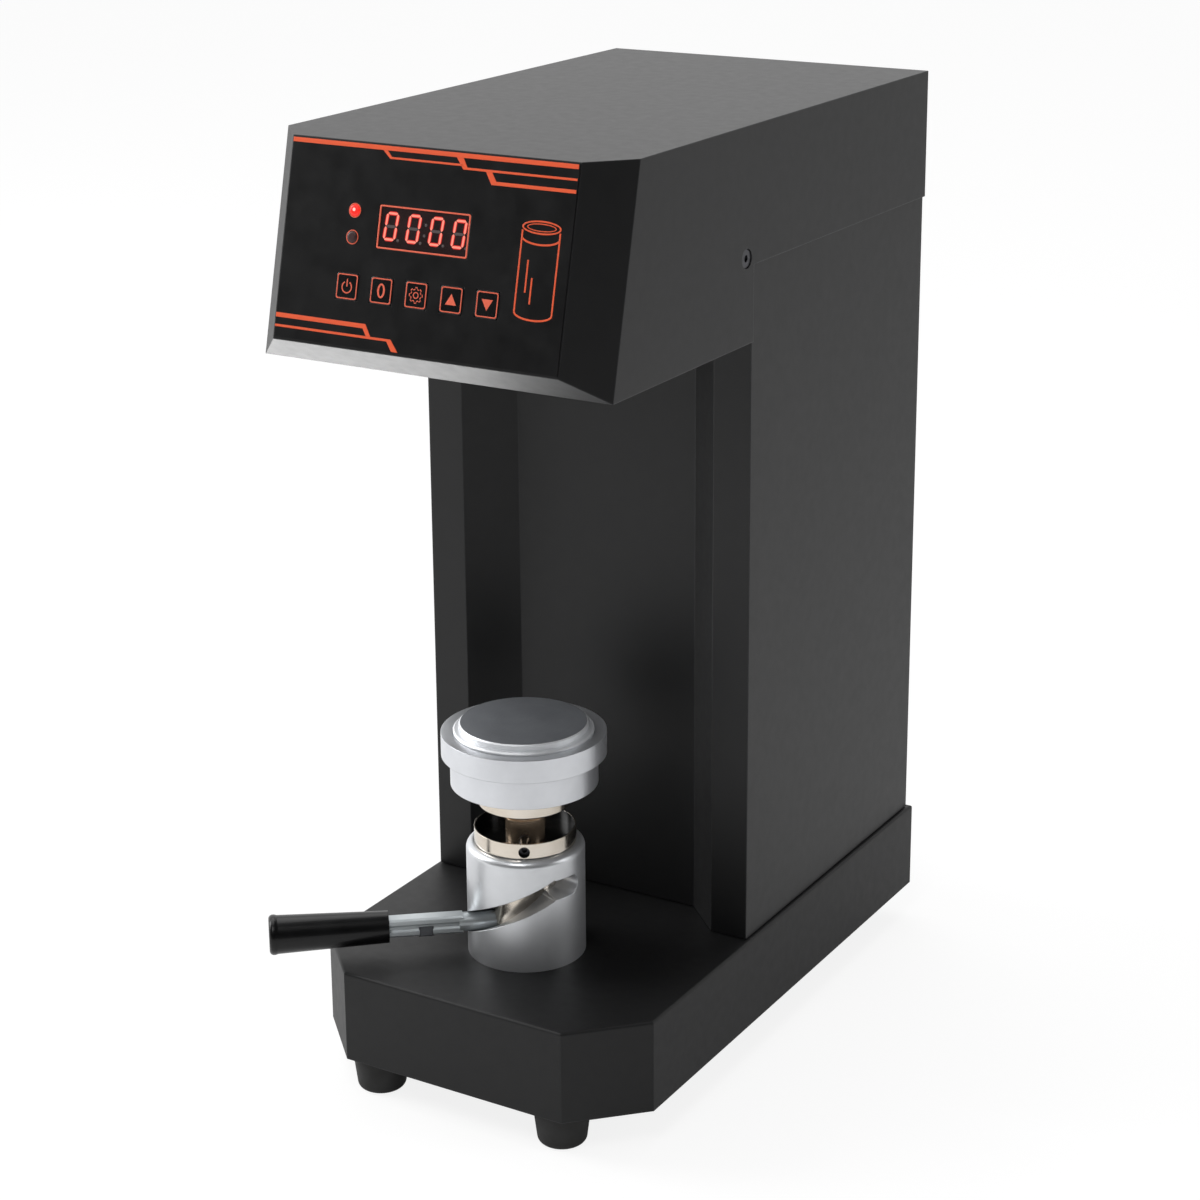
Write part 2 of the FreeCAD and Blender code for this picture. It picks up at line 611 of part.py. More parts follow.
def make_frames():
    parts = []
    for hand, x, lean in (("left", "-frame_outer", 1), ("right", "frame_outer", -1)):
        frame = new_body(f"frame_side_{hand}", x=x)
        sketch = new_sketch(frame, "YZ_Plane")
        arm_bottom = "head_bottom + frame_arm_rise"
        polygon(sketch, [
            ("-frame_front", "deck"), ("frame_back", "deck"), ("frame_back", "frame_top"),
            ("-frame_arm_reach", "frame_top"), ("-frame_arm_reach", arm_bottom),
            ("-frame_front", arm_bottom),
        ])
        circle(sketch, "-hood_screw_y", "head_bottom + hood_screw_rise",
               "hood_screw_radius + running_gap")
        add_pad(frame, sketch, "frame_thickness", reverse=lean < 0)
        parts.append(frame)
    half = "(frame_outer - frame_thickness - running_gap)"
    parts.append(plate("head_plate", [
        (f"-{half}", "frame_back"), (f"-{half}", "-head_plate_front"),
        (half, "-head_plate_front"), (half, "frame_back"),
    ], "plate_bottom", "head_plate_thickness", [
        ("0", "-axis_reach", "housing_radius + running_gap"),
        ("0", "-yoke_pivot_reach", "pivot_radius + running_gap / 2"),
        ("0", "crank_reach", "gearbox_boss_radius + running_gap"),
        ("0", "motor_reach", "motor_hole_radius"),
    ]))
    return parts


# Head

def panel_rotation():
    """Turns a piece drawn flat, with +Y up its face and +Z out of it, onto the leaning front."""
    return Rotation(Vector(1, 0, 0), 90 - value("lean_angle"))


def panel_body(name):
    """A body whose origin is the middle of the leaning face's top edge."""
    return new_body(name, y="-head_top_reach", z="machine_height", rotation=panel_rotation())


def key_places():
    names = ("key_power", "key_reset", "key_set", "key_up", "key_down")
    for i, name in enumerate(names):
        yield name, f"key_first + {i} * key_pitch", "-key_row"


def box_corners(x, y, width, height, grow="0"):
    half = f"({width} / 2 + {grow})"
    tall = f"({height} / 2 + {grow})"
    return [
        (f"{x} - {half}", f"{y} - {tall}"), (f"{x} + {half}", f"{y} - {tall}"),
        (f"{x} + {half}", f"{y} + {tall}"), (f"{x} - {half}", f"{y} + {tall}"),
    ]


def panel_holes(sketch, grow):
    """The window, the lamp holes and the key holes of the panel."""
    window = ("display_left + display_width / 2", "-display_top - display_height / 2")
    polygon(sketch, box_corners(*window, "display_width", "display_height", grow))
    for lamp in ("lamp_high", "lamp_low"):
        circle(sketch, "lamp_x", f"-{lamp}", f"lamp_radius + {grow}")
    for _, x, y in key_places():
        polygon(sketch, box_corners(x, y, "key_width", "key_height", grow))


def corner_cuts(body, inset):
    """Cut both front corners of the head along the front's lean, moved in by an inset."""
    span = "sqrt(head_chamfer_x ^ 2 + head_chamfer_y ^ 2)"
    steep = "sqrt(1 + (head_chamfer_x * tan(lean_angle * 1deg) / " + span + ") ^ 2)"
    shift_x = f"({inset}) * {steep} * head_chamfer_y / {span}"
    shift_y = f"({inset}) * {steep} * head_chamfer_x / {span}"
    back = f"-head_top_reach + head_chamfer_y * 2 + {shift_y}"
    front = f"-head_top_reach - head_chamfer_y + {shift_y}"
    corners = new_sketch(body, "XY_Plane", "machine_height")
    for hand in ("-", ""):
        outer = f"{hand}(hood_width / 2 + head_chamfer_x - {shift_x})"
        inner = f"{hand}(hood_width / 2 - head_chamfer_x * 2 - {shift_x})"
        polygon(corners, [(outer, back), (inner, front), (outer, front)])
    cut = add_pocket(body, corners)
    lean = math.radians(value("lean_angle"))
    cut.UseCustomVector = True
    cut.Direction = Vector(0, -math.sin(lean), -math.cos(lean))


def make_cavity():
    """The space inside the hood: its outline moved in by the sheet's thickness."""
    cavity = new_body("hood_cavity")
    side = new_sketch(cavity, "YZ_Plane")
    fall = "(face_bottom_z - head_bottom)"
    run = "(side_bottom_y - face_bottom_y)"
    slope = f"sqrt({run} ^ 2 + {fall} ^ 2)"
    lean_cos = "cos(lean_angle * 1deg)"
    lean_sin = "sin(lean_angle * 1deg)"
    in_y = f"{fall} / {slope}"
    in_z = f"{run} / {slope}"
    bend = f"(1 + {lean_cos} * {in_y} - {lean_sin} * {in_z})"
    front = f"-head_top_reach + hood_sheet * (1 - {lean_sin}) / {lean_cos}"
    below = "(column_sheet + underside_rise)"
    open_y = f"side_bottom_y + {run} / {fall} * {below} + hood_sheet / ({in_y})"
    beyond = "-column_front"
    polygon(side, [
        ("hood_back - hood_sheet", "machine_height - hood_sheet"),
        (front, "machine_height - hood_sheet"),
        (f"face_bottom_y + hood_sheet * ({lean_cos} + {in_y}) / {bend}",
         f"face_bottom_z + hood_sheet * ({in_z} - {lean_sin}) / {bend}"),
        (open_y, f"head_bottom - {below}"), (beyond, f"head_bottom - {below}"),
        (beyond, "skirt_bottom - hood_sheet"),
        ("hood_back - hood_sheet", "skirt_bottom - hood_sheet"),
    ])
    add_pad(cavity, side, "hood_width - 2 * hood_sheet", side="Symmetric")
    corner_cuts(cavity, "hood_sheet")
    return cavity


def make_hood():
    hood = new_body("head_hood")
    side = new_sketch(hood, "YZ_Plane")
    notch = "-column_front - notch_gap"
    polygon(side, [
        ("hood_back", "machine_height"), ("-head_top_reach", "machine_height"),
        ("face_bottom_y", "face_bottom_z"), ("side_bottom_y", "head_bottom"),
        (notch, "head_bottom"), (notch, "skirt_bottom"), ("hood_back", "skirt_bottom"),
    ])
    add_pad(hood, side, "hood_width", side="Symmetric")
    corner_cuts(hood, "0")
    hollow = hood.newObject("PartDesign::Boolean", "head_hood_hollow")
    hollow.addObjects([make_cavity()])
    hollow.Type = "Cut"
    panel = new_sketch(hood, "XY_Plane")
    panel.AttachmentOffset = Placement(
        Vector(0, -value("head_top_reach"), value("machine_height")), panel_rotation())
    panel.setExpression("AttachmentOffset.Base.z", bound("machine_height"))
    panel.setExpression("AttachmentOffset.Base.y", bound("-head_top_reach"))
    panel_holes(panel, "turning_gap")
    add_pocket(hood, panel, "hood_sheet * 3", side="Symmetric")
    holes = new_sketch(hood, "YZ_Plane")
    circle(holes, "-hood_screw_y", "head_bottom + hood_screw_rise", "hood_screw_hole")
    add_pocket(hood, holes, side="Symmetric")
    screws = []
    for hand, turn in (("-", -90), ("", 90)):
        place = (f"{hand}frame_outer", "-hood_screw_y", "head_bottom + hood_screw_rise")
        screws.append(screw(
            f"hood_screw_{'left' if hand else 'right'}", "hood_screw_radius",
            "frame_thickness + hood_screw_length", "hood_screw_head", "hood_screw_head_height",
            place, socket="0.3", rotation=Rotation(Vector(0, 1, 0), turn)))
    return [hood, group("hood_screws", screws)]


def make_underside():
    """The cover under the head, with a tongue that closes the top of the column's recess."""
    half = "(hood_width / 2 - hood_sheet - fit_gap)"
    front = "(side_bottom_y + underside_inset)"
    back = "(-column_front - notch_gap - fit_gap)"
    slope = "(recess_mouth / 2 - recess_floor / 2) / recess_depth"
    tongue_back = "(-column_front + recess_depth - tongue_gap)"
    tongue = f"(recess_floor / 2 - tongue_gap + ({slope}) * tongue_gap)"
    tongue_root = f"({tongue} + ({slope}) * ({tongue_back} - {back}))"
    corner = "underside_inset * 2"
    body = new_body("head_underside_plate", z="underside_bottom")
    sketch = new_sketch(body, "XY_Plane")
    polygon(sketch, [
        (f"-{half}", back), (f"-{half}", f"{front} + {corner}"),
        (f"-{half} + {corner}", front), (f"{half} - {corner}", front),
        (half, f"{front} + {corner}"), (half, back), (tongue_root, back),
        (tongue, tongue_back), (f"-{tongue}", tongue_back), (f"-{tongue_root}", back),
    ])
    racetrack(sketch, ("-roller_reach", "-axis_reach"), "underside_mouth_radius",
              ("roller_reach", "-axis_reach"), "underside_mouth_radius")
    add_pad(body, sketch, "underside_sheet")
    return [body]


def make_panel():
    overlay = panel_body("control_overlay")
    sketch = new_sketch(overlay, "XY_Plane")
    height = "overlay_bottom - overlay_top"
    middle = "-(overlay_bottom + overlay_top) / 2"
    polygon(sketch, box_corners("0", middle, "overlay_width", f"({height})"))
    panel_holes(sketch, "panel_gap")
    add_pad(overlay, sketch, "overlay_sheet")
    parts = [overlay]

    display = panel_body("display_module")
    sketch = new_sketch(display, "XY_Plane", "-display_depth")
    window = ("display_left + display_width / 2", "-display_top - display_height / 2")
    polygon(sketch, box_corners(*window, "display_width", "display_height"))
    add_pad(display, sketch, "display_depth")
    parts.append(display)

    for name, lamp in (("auto_indicator", "lamp_high"), ("manual_indicator", "lamp_low")):
        body = panel_body(name)
        sketch = new_sketch(body, "XY_Plane", "board_front")
        circle(sketch, "lamp_x", f"-{lamp}", "lamp_radius")
        rod = add_pad(body, sketch, "-board_front + lamp_dome")
        add_fillet(body, rod, "lamp_dome", level(value("lamp_dome")))
        parts.append(body)

    for name, x, y in key_places():
        body = panel_body(name)
        cap = new_sketch(body, "XY_Plane", "key_flange_top")
        polygon(cap, box_corners(x, y, "key_width", "key_height"))
        block = add_pad(body, cap, "-key_flange_top + overlay_sheet + key_proud")
        low = value("key_flange_top")
        high = value("overlay_sheet + key_proud")

        def upright(edge):
            box = edge.BoundBox
            return near(box.ZMin, low) and near(box.ZMax, high)

        rounded = add_fillet(body, block, "key_round", upright)
        add_fillet(body, rounded, "key_proud * 0.8", level(high))
        skirt = new_sketch(body, "XY_Plane", "key_flange_top")
        polygon(skirt, box_corners(x, y, "key_width", "key_height", "key_flange"))
        add_pad(body, skirt, "key_skirt", reverse=True)
        stem = new_sketch(body, "XY_Plane", "key_flange_top")
        circle(stem, x, y, "key_stem_radius")
        reach = "(key_flange_top - board_front - key_travel - turning_gap)"
        add_pad(body, stem, reach, reverse=True)
        parts.append(body)

    board = panel_body("control_pcb")
    sketch = new_sketch(board, "XY_Plane", "board_front")
    middle = "-(board_top + board_bottom) / 2"
    polygon(sketch, box_corners("0", middle, "board_width", "(board_bottom - board_top)"))
    add_pad(board, sketch, "board_sheet", reverse=True)
    parts.append(board)

    posts = []
    for i, (side, edge) in enumerate((("-", "board_top + standoff_inset"),
                                      ("", "board_top + standoff_inset"),
                                      ("-", "board_bottom - standoff_inset"),
                                      ("", "board_bottom - standoff_inset")), start=1):
        post = panel_body(f"pcb_standoff_{i}")
        sketch = new_sketch(post, "XY_Plane", "board_front")
        circle(sketch, f"{side}(board_width / 2 - standoff_inset)", f"-({edge})",
               "standoff_radius")
        add_pad(post, sketch, "board_gap")
        posts.append(post)
    parts.append(group("pcb_standoffs", posts))
    return parts


# Spindle drive

def make_pulley(name, rim, bore, y):
    """A one-groove V pulley with a hub on top."""
    root = f"{rim} - groove_depth"
    mouth = "belt_width / 2 + groove_flare"
    bed = "belt_width / 2 - groove_taper"
    return turned(name, [
        (bore, "-pulley_height / 2"), (rim, "-pulley_height / 2"), (rim, f"-({mouth})"),
        (root, f"-({bed})"), (root, bed), (rim, mouth), (rim, "pulley_height / 2"),
        ("pulley_hub_radius", "pulley_height / 2"),
        ("pulley_hub_radius", "pulley_height / 2 + pulley_hub_rise"),
        (bore, "pulley_height / 2 + pulley_hub_rise"),
    ], y=y, z="belt_level")


def make_spindle():
    axis = "-axis_reach"
    seat = "bearing_radius + running_gap / 2"
    housing = turned("spindle_housing", [
        (seat, "housing_bottom"), ("housing_radius", "housing_bottom"),
        ("housing_radius", "plate_top"), ("housing_flange", "plate_top"),
        ("housing_flange", "plate_top + housing_flange_height"),
        ("housing_radius", "plate_top + housing_flange_height"),
        ("housing_radius", "housing_top"), (seat, "housing_top"),
        (seat, "housing_top - bearing_width - bearing_inset"),
        ("bearing_shoulder", "housing_top - bearing_width - bearing_inset"),
        ("bearing_shoulder", "housing_bottom + bearing_width + bearing_inset"),
        (seat, "housing_bottom + bearing_width + bearing_inset"),
    ], y=axis)
    bearings = []
    inner_race = "shaft_radius + race_width"
    outer_race = "bearing_radius - race_width"
    for name, low in (("lower_bearing", "housing_bottom + bearing_inset"),
                      ("upper_bearing", "housing_top - bearing_width - bearing_inset")):
        bearings.append(turned(name, [
            ("shaft_radius + running_gap", "0"), (inner_race, "0"),
            (f"{inner_race} + race_edge", "shield_depth"),
            (f"{outer_race} - race_edge", "shield_depth"),
            (outer_race, "0"), ("bearing_radius", "0"),
            ("bearing_radius", "bearing_width"), (outer_race, "bearing_width"),
            (f"{outer_race} - race_edge", "bearing_width - shield_depth"),
            (f"{inner_race} + race_edge", "bearing_width - shield_depth"),
            (inner_race, "bearing_width"), ("shaft_radius + running_gap", "bearing_width"),
        ], y=axis, z=low))
    end = "pulley_top + pulley_hub_rise + shaft_rise"
    shaft = turned("spindle_shaft", [
        ("chuck_screw_radius + running_gap", "shaft_bottom"), ("shaft_radius", "shaft_bottom"),
        ("shaft_radius", end), ("shaft_radius - shaft_edge", f"{end} + shaft_edge"),
        ("0", f"{end} + shaft_edge"),
        ("0", "shaft_bottom + chuck_screw_length"),
        ("chuck_screw_radius + running_gap", "shaft_bottom + chuck_screw_length"),
    ], y=axis)
    seat = "(shaft_radius + running_gap / 2)"
    band = "chuck_lip_height + chuck_band"
    chuck = turned("seaming_chuck", [
        ("chuck_screw_radius + fit_gap", "chuck_screw_head - chuck_screw_radius"),
        ("chuck_screw_head + fit_gap", "0"), ("chuck_bottom_radius", "0"),
        ("chuck_radius", "chuck_lip_height"), ("chuck_radius", band),
        ("chuck_radius - chuck_step", f"{band} + chuck_step_height"),
        ("chuck_hub_radius", f"{band} + chuck_step_height + chuck_cone_height"),
        ("chuck_hub_radius", "chuck_body_height"), (seat, "chuck_body_height"),
        (seat, "chuck_web"), ("chuck_screw_radius + fit_gap", "chuck_web"),
    ], y=axis, z="chuck_bottom")
    bolt = turned("chuck_screw", [
        ("chuck_socket_radius", "0"), ("chuck_screw_head", "0"),
        ("chuck_screw_radius", "chuck_screw_head - chuck_screw_radius"),
        ("chuck_screw_radius", "chuck_screw_length"), ("0", "chuck_screw_length"),
        ("0", "chuck_socket_depth"), ("chuck_socket_radius", "chuck_socket_depth"),
    ], y=axis, z="chuck_bottom")
    pulley = make_pulley("spindle_pulley", "spindle_pulley_radius",
                         "shaft_radius + running_gap / 2", axis)
    return [housing, group("spindle_bearings", bearings), shaft, chuck, bolt, pulley]


def make_motor():
    y = "motor_reach"
    low = "plate_bottom - motor_length"
    seat = "motor_shaft_radius + running_gap"
    body = turned("motor_body", [
        ("0", low), ("motor_radius", low), ("motor_radius", f"{low} + motor_end_height"),
        ("motor_radius - motor_end_step", f"{low} + motor_end_height"),
        ("motor_radius - motor_end_step", "plate_bottom - motor_end_height"),
        ("motor_radius", "plate_bottom - motor_end_height"), ("motor_radius", "plate_bottom"),
        (seat, "plate_bottom"), (seat, "plate_bottom - motor_shaft_depth"),
        ("0", "plate_bottom - motor_shaft_depth"),
    ], y=y)
    shaft = turned("motor_shaft", [
        ("0", "plate_bottom - motor_shaft_depth + fit_gap"),
        ("motor_shaft_radius", "plate_bottom - motor_shaft_depth + fit_gap"),
        ("motor_shaft_radius", "pulley_top + pulley_hub_rise + shaft_rise"),
        ("0", "pulley_top + pulley_hub_rise + shaft_rise"),
    ], y=y)
    pulley = make_pulley("motor_pulley", "motor_pulley_radius",
                         "motor_shaft_radius + running_gap / 2", y)
    belt = new_body("drive_belt", z="belt_level")
    sketch = new_sketch(belt, "XY_Plane")
    clear = "groove_depth - turning_gap - belt_depth"
    ends = (("0", "-axis_reach"), ("0", y))
    racetrack(sketch, ends[0], f"spindle_pulley_radius - ({clear})",
              ends[1], f"motor_pulley_radius - ({clear})")
    racetrack(sketch, ends[0], f"spindle_pulley_radius - ({clear}) - belt_depth",
              ends[1], f"motor_pulley_radius - ({clear}) - belt_depth")
    add_pad(belt, sketch, "belt_width - 2 * belt_side_gap", side="Symmetric")
    return [body, shaft, pulley, belt]


# Seaming rollers

def make_yoke():
    yoke = new_body("roller_yoke", z="yoke_bottom")
    sketch = new_sketch(yoke, "XY_Plane")
    tail = "yoke_tail_width / 2"
    root = "yoke_root_width / 2"
    throw = "crank_reach + crank_throw"
    back = f"{throw} + crank_pin_radius + yoke_tail_edge"
    front = "-axis_reach - roller_boss_radius"
    far = "(roller_reach + roller_boss_radius)"
    polygon(sketch, [
        (f"-({tail})", back), (f"-({root})", "-yoke_pivot_reach + yoke_root_lap"),
        (f"-{far}", "-axis_reach + roller_boss_radius / 2"), (f"-{far}", f"{front} + yoke_corner"),
        (f"-{far} + yoke_corner", front), ("-roller_reach + roller_boss_radius", front),
        ("-yoke_shaft_hole", "-axis_reach - yoke_shaft_hole * 1.5"),
        ("yoke_shaft_hole", "-axis_reach - yoke_shaft_hole * 1.5"),
        ("roller_reach - roller_boss_radius", front), (f"{far} - yoke_corner", front),
        (far, f"{front} + yoke_corner"), (far, "-axis_reach + roller_boss_radius / 2"),
        (root, "-yoke_pivot_reach + yoke_root_lap"), (tail, back),
    ])
    circle(sketch, "0", "-axis_reach", "yoke_shaft_hole")
    circle(sketch, "0", "-yoke_pivot_reach", "pivot_radius + running_gap")
    for side in ("-", ""):
        circle(sketch, f"{side}roller_reach", "-axis_reach", "roller_pin_radius + running_gap / 2")
    play = "crank_pin_radius + fit_gap / 2"
    racetrack(sketch, ("0", f"{throw} - crank_play"), play, ("0", f"{throw} + crank_play"), play)
    add_pad(yoke, sketch, "yoke_thickness")

    head_low = "yoke_bottom - pivot_head_gap - pivot_head_height"
    pivot = turned("yoke_pivot_pin", [
        ("0", head_low), ("pivot_head_radius", head_low),
        ("pivot_head_radius", "yoke_bottom - pivot_head_gap"),
        ("pivot_radius", "yoke_bottom - pivot_head_gap"), ("pivot_radius", "plate_top"),
        ("0", "plate_top"),
    ], y="-yoke_pivot_reach")

    pins = []
    rollers = []
    for name, side in (("first_roller", "-"), ("second_roller", "")):
        x = f"{side}roller_reach"
        head = "roller_bottom - fit_gap - roller_pin_head_height"
        pins.append(turned(f"{name}_pin", [
            ("0", head), ("roller_pin_head", head),
            ("roller_pin_head", "roller_bottom - fit_gap"),
            ("roller_pin_radius", "roller_bottom - fit_gap"), ("roller_pin_radius", "yoke_top"),
            ("0", "yoke_top"),
        ], x, "-axis_reach"))
        bore = "roller_pin_radius + running_gap"
        edge = "roller_radius - roller_edge"
        bed = "roller_radius - roller_groove"
        bed_low = "groove_start + groove_fall"
        bed_high = f"{bed_low} + groove_bed"
        rim = "roller_height - roller_hub_rise"
        hub = "roller_pin_radius + roller_hub_edge"
        rollers.append(turned(name, [
            (bore, "0"), (edge, "0"), ("roller_radius", "roller_edge_height"),
            ("roller_radius", "groove_start"), (bed, bed_low), (bed, bed_high),
            ("roller_radius", f"{bed_high} + groove_climb"),
            ("roller_radius", f"{rim} - roller_edge_height"), (edge, rim), (hub, rim),
            (hub, "roller_height"), (bore, "roller_height"),
        ], x, "-axis_reach", "roller_bottom"))
    crank = turned("crank_disc", [
        ("0", "0"), ("crank_disc_radius", "0"), ("crank_disc_radius", "crank_disc_height"),
        ("crank_shaft_radius", "crank_disc_height"),
        ("crank_shaft_radius", "crank_disc_height + crank_shaft_length"),
        ("0", "crank_disc_height + crank_shaft_length"),
    ], y="crank_reach", z="crank_disc_bottom")
    pin = new_sketch(crank, "XY_Plane")
    circle(pin, "0", "crank_throw", "crank_pin_radius")
    add_pad(crank, pin, "crank_disc_bottom - yoke_bottom - crank_pin_gap", reverse=True)
    return [yoke, pivot, group("roller_pins", pins), *rollers, crank]


def make_gearmotor():
    body = new_body("gearmotor_body", y="crank_reach", z="plate_top")
    sketch = new_sketch(body, "XY_Plane")
    polygon(sketch, box_corners("0", "0", "gearbox_side", "gearbox_side"))
    add_pad(body, sketch, "gearbox_height")
    boss = new_sketch(body, "XY_Plane")
    circle(boss, "0", "0", "gearbox_boss_radius")
    add_pad(body, boss, "head_plate_thickness", reverse=True)
    bore = new_sketch(body, "XY_Plane", "-head_plate_thickness")
    circle(bore, "0", "0", "crank_shaft_radius + running_gap")
    shaft_end = "crank_disc_bottom + crank_disc_height + crank_shaft_length"
    add_pocket(body, bore, f"{shaft_end} + crank_shaft_gap - plate_bottom", reverse=True)
    return [body]


# Barrel, plunger and tray

def slot_half(radius):
    """Half of the slot's height at a radius, so that a round cutter of one size fits it."""
    lead = "slot_rise * 360 / slot_turn / (2 * pi)"
    return f"(slot_cutter / 2 / cos(atan({lead} / ({radius}))))"


def make_barrel():
    """The barrel, with a helical slot that ends in a level stretch where the lever rests."""
    barrel = turned("cam_barrel", [
        ("barrel_bore", "0"), ("barrel_radius", "0"), ("barrel_radius", "barrel_height"),
        ("barrel_bore", "barrel_height"),
    ], y="-axis_reach", z="deck")
    doc.recompute()
    top = value("barrel_height")
    outer = value("barrel_radius")
    add_fillet(barrel, barrel.Tip, "barrel_round", lambda edge: level(top)(edge) and near(
        edge.BoundBox.XLength, 2 * outer, 0.1))
    inside = "barrel_bore - cut_over"
    outside = "barrel_radius + cut_over"
    start = value("lever_angle")
    turn = value("slot_turn")

    sketch = new_sketch(barrel, "XZ_Plane")
    sketch.AttachmentOffset = Placement(Vector(), Rotation(Vector(0, 1, 0), start))
    polygon(sketch, [
        (inside, f"slot_low - {slot_half(inside)}"), (outside, f"slot_low - {slot_half(outside)}"),
        (outside, f"slot_low + {slot_half(outside)}"), (inside, f"slot_low + {slot_half(inside)}"),
    ])
    helix = barrel.newObject("PartDesign::SubtractiveHelix", "cam_barrel_helix")
    helix.Profile = sketch
    helix.ReferenceAxis = (sketch, ["V_Axis"])
    helix.Mode = "pitch-height-angle"
    helix.setExpression("Pitch", bound("slot_rise * 360 / slot_turn"))
    helix.setExpression("Height", bound("slot_rise"))

    high = "slot_low + slot_rise"
    add_turning(barrel, [
        (inside, f"{high} - slot_cutter / 2"), (outside, f"{high} - slot_cutter / 2"),
        (outside, f"{high} + slot_cutter / 2"), (inside, f"{high} + slot_cutter / 2"),
    ], "PartDesign::Groove", "rest_turn", start + turn)
    cuts = [(start, "slot_low", "0"), (start + turn, high, "0"),
            (start + turn + value("rest_turn"), high, "0")]
    # The cutter's way on from both ends of the slope, so that its round sides are cut too
    for i in (1, 2, 3):
        step = f"{i} * slot_step"
        rise = f"({step}) * slot_rise / slot_turn"
        cuts.append((start + value(step), f"slot_low + {rise}", "slot_trim"))
        cuts.append((start + turn - value(step), f"{high} - {rise}", "slot_trim"))
    for angle, height, trim in cuts:
        hole = radial_sketch(barrel, angle)
        circle(hole, "0", height, f"slot_cutter / 2 - {trim}")
        add_pocket(barrel, hole, "barrel_radius * 2", reverse=True)
    threads = new_sketch(barrel, "XY_Plane")
    for x, y in barrel_screw_places():
        circle(threads, x, y.replace("-axis_reach", "0"), "barrel_screw_radius + running_gap / 2")
    add_pocket(barrel, threads, "barrel_screw_depth", reverse=True)
    upward = Rotation(Vector(1, 0, 0), 180)
    screws = [
        screw(f"barrel_screw_{i}", "barrel_screw_radius", "barrel_screw_length",
              "barrel_screw_head", "barrel_screw_radius * 1.4", (x, y, "deck - base_sheet"),
              socket="0.4", rotation=upward)
        for i, (x, y) in enumerate(barrel_screw_places(), start=1)
    ]
    return [barrel, group("barrel_screws", screws)]


def lever_rotation():
    return Rotation(Vector(0, 0, 1), value("lever_angle"))


def lever_body(name):
    """A body drawn along +X from the seaming axis, turned to where the lever rests."""
    return new_body(name, y="-axis_reach", z="lever_level", rotation=lever_rotation())


def add_rod(body, corners):
    """Turn an outline of (distance, radius) corners about the lever's own line."""
    sketch = new_sketch(body, "XY_Plane")
    polygon(sketch, corners)
    feature = body.newObject("PartDesign::Revolution", f"{body.Name}_rod")
    feature.Profile = sketch
    feature.ReferenceAxis = (sketch, ["H_Axis"])
    feature.Angle = 360
    return feature


def make_lever():
    bar = lever_body("lever_bar")
    add_rod(bar, [
        ("neck_inner", "0"), ("neck_inner", "neck_radius"),
        ("bar_start + neck_lap", "neck_radius"), ("bar_start + neck_lap", "0"),
    ])
    section = new_sketch(bar, "YZ_Plane", "bar_start")
    wide = "(bar_width / 2)"
    tall = "(bar_height / 2)"
    near_wide = f"({wide} - bar_bevel)"
    near_tall = f"({tall} - bar_bevel)"
    flute = f"({wide} - bar_flute)"
    polygon(section, [
        (f"-{near_wide}", f"-{tall}"), (near_wide, f"-{tall}"), (wide, f"-{near_tall}"),
        (wide, "-flute_mouth"), (flute, "-flute_bed"), (flute, "flute_bed"),
        (wide, "flute_mouth"), (wide, near_tall), (near_wide, tall), (f"-{near_wide}", tall),
        (f"-{wide}", near_tall), (f"-{wide}", "flute_mouth"), (f"-{flute}", "flute_bed"),
        (f"-{flute}", "-flute_bed"), (f"-{wide}", "-flute_mouth"), (f"-{wide}", f"-{near_tall}"),
    ])
    add_pad(bar, section, "bar_end - bar_start")
    collar = "tang_radius - tang_step"
    add_rod(bar, [
        ("bar_end - tang_lap", "0"), ("bar_end - tang_lap", collar),
        ("grip_start + tang_lap", collar), ("grip_start + tang_lap", "tang_radius"),
        ("grip_start + tang_length", "tang_radius"), ("grip_start + tang_length", "0"),
    ])
    notch = new_sketch(bar, "XZ_Plane")
    polygon(notch, [
        ("notch_start", "-bar_height"), ("notch_end", "-bar_height"),
        ("notch_end", "-bar_height / 2 + notch_depth"),
        ("notch_start", "-bar_height / 2 + notch_depth"),
    ])
    add_pocket(bar, notch, "bar_width * 2", side="Symmetric")

    grip = lever_body("lever_grip")
    bore_end = "grip_start + tang_length + tang_end_gap"
    skin = add_rod(grip, [
        ("grip_start", "tang_radius + running_gap"), ("grip_start", "grip_inner_radius"),
        ("grip_end - 1.5 * grip_bead_length", "grip_outer_radius"),
        ("grip_end - grip_bead_length", "grip_outer_radius + grip_bead"),
        ("grip_end", "grip_outer_radius + grip_bead"), ("grip_end", "0"),
        (bore_end, "0"), (bore_end, "tang_radius + running_gap"),
    ])
    far = value("grip_end")
    add_fillet(grip, skin, "grip_round", lambda edge: near(edge.BoundBox.XMin, far) and near(
        edge.BoundBox.XMax, far))
    bush = lever_body("lever_bush")
    add_rod(bush, [
        ("bush_inner", "neck_radius + running_gap"), ("bush_inner", "bush_radius"),
        ("bush_outer", "bush_radius"), ("bush_outer", "neck_radius + running_gap"),
    ])
    return [bar, grip, bush]


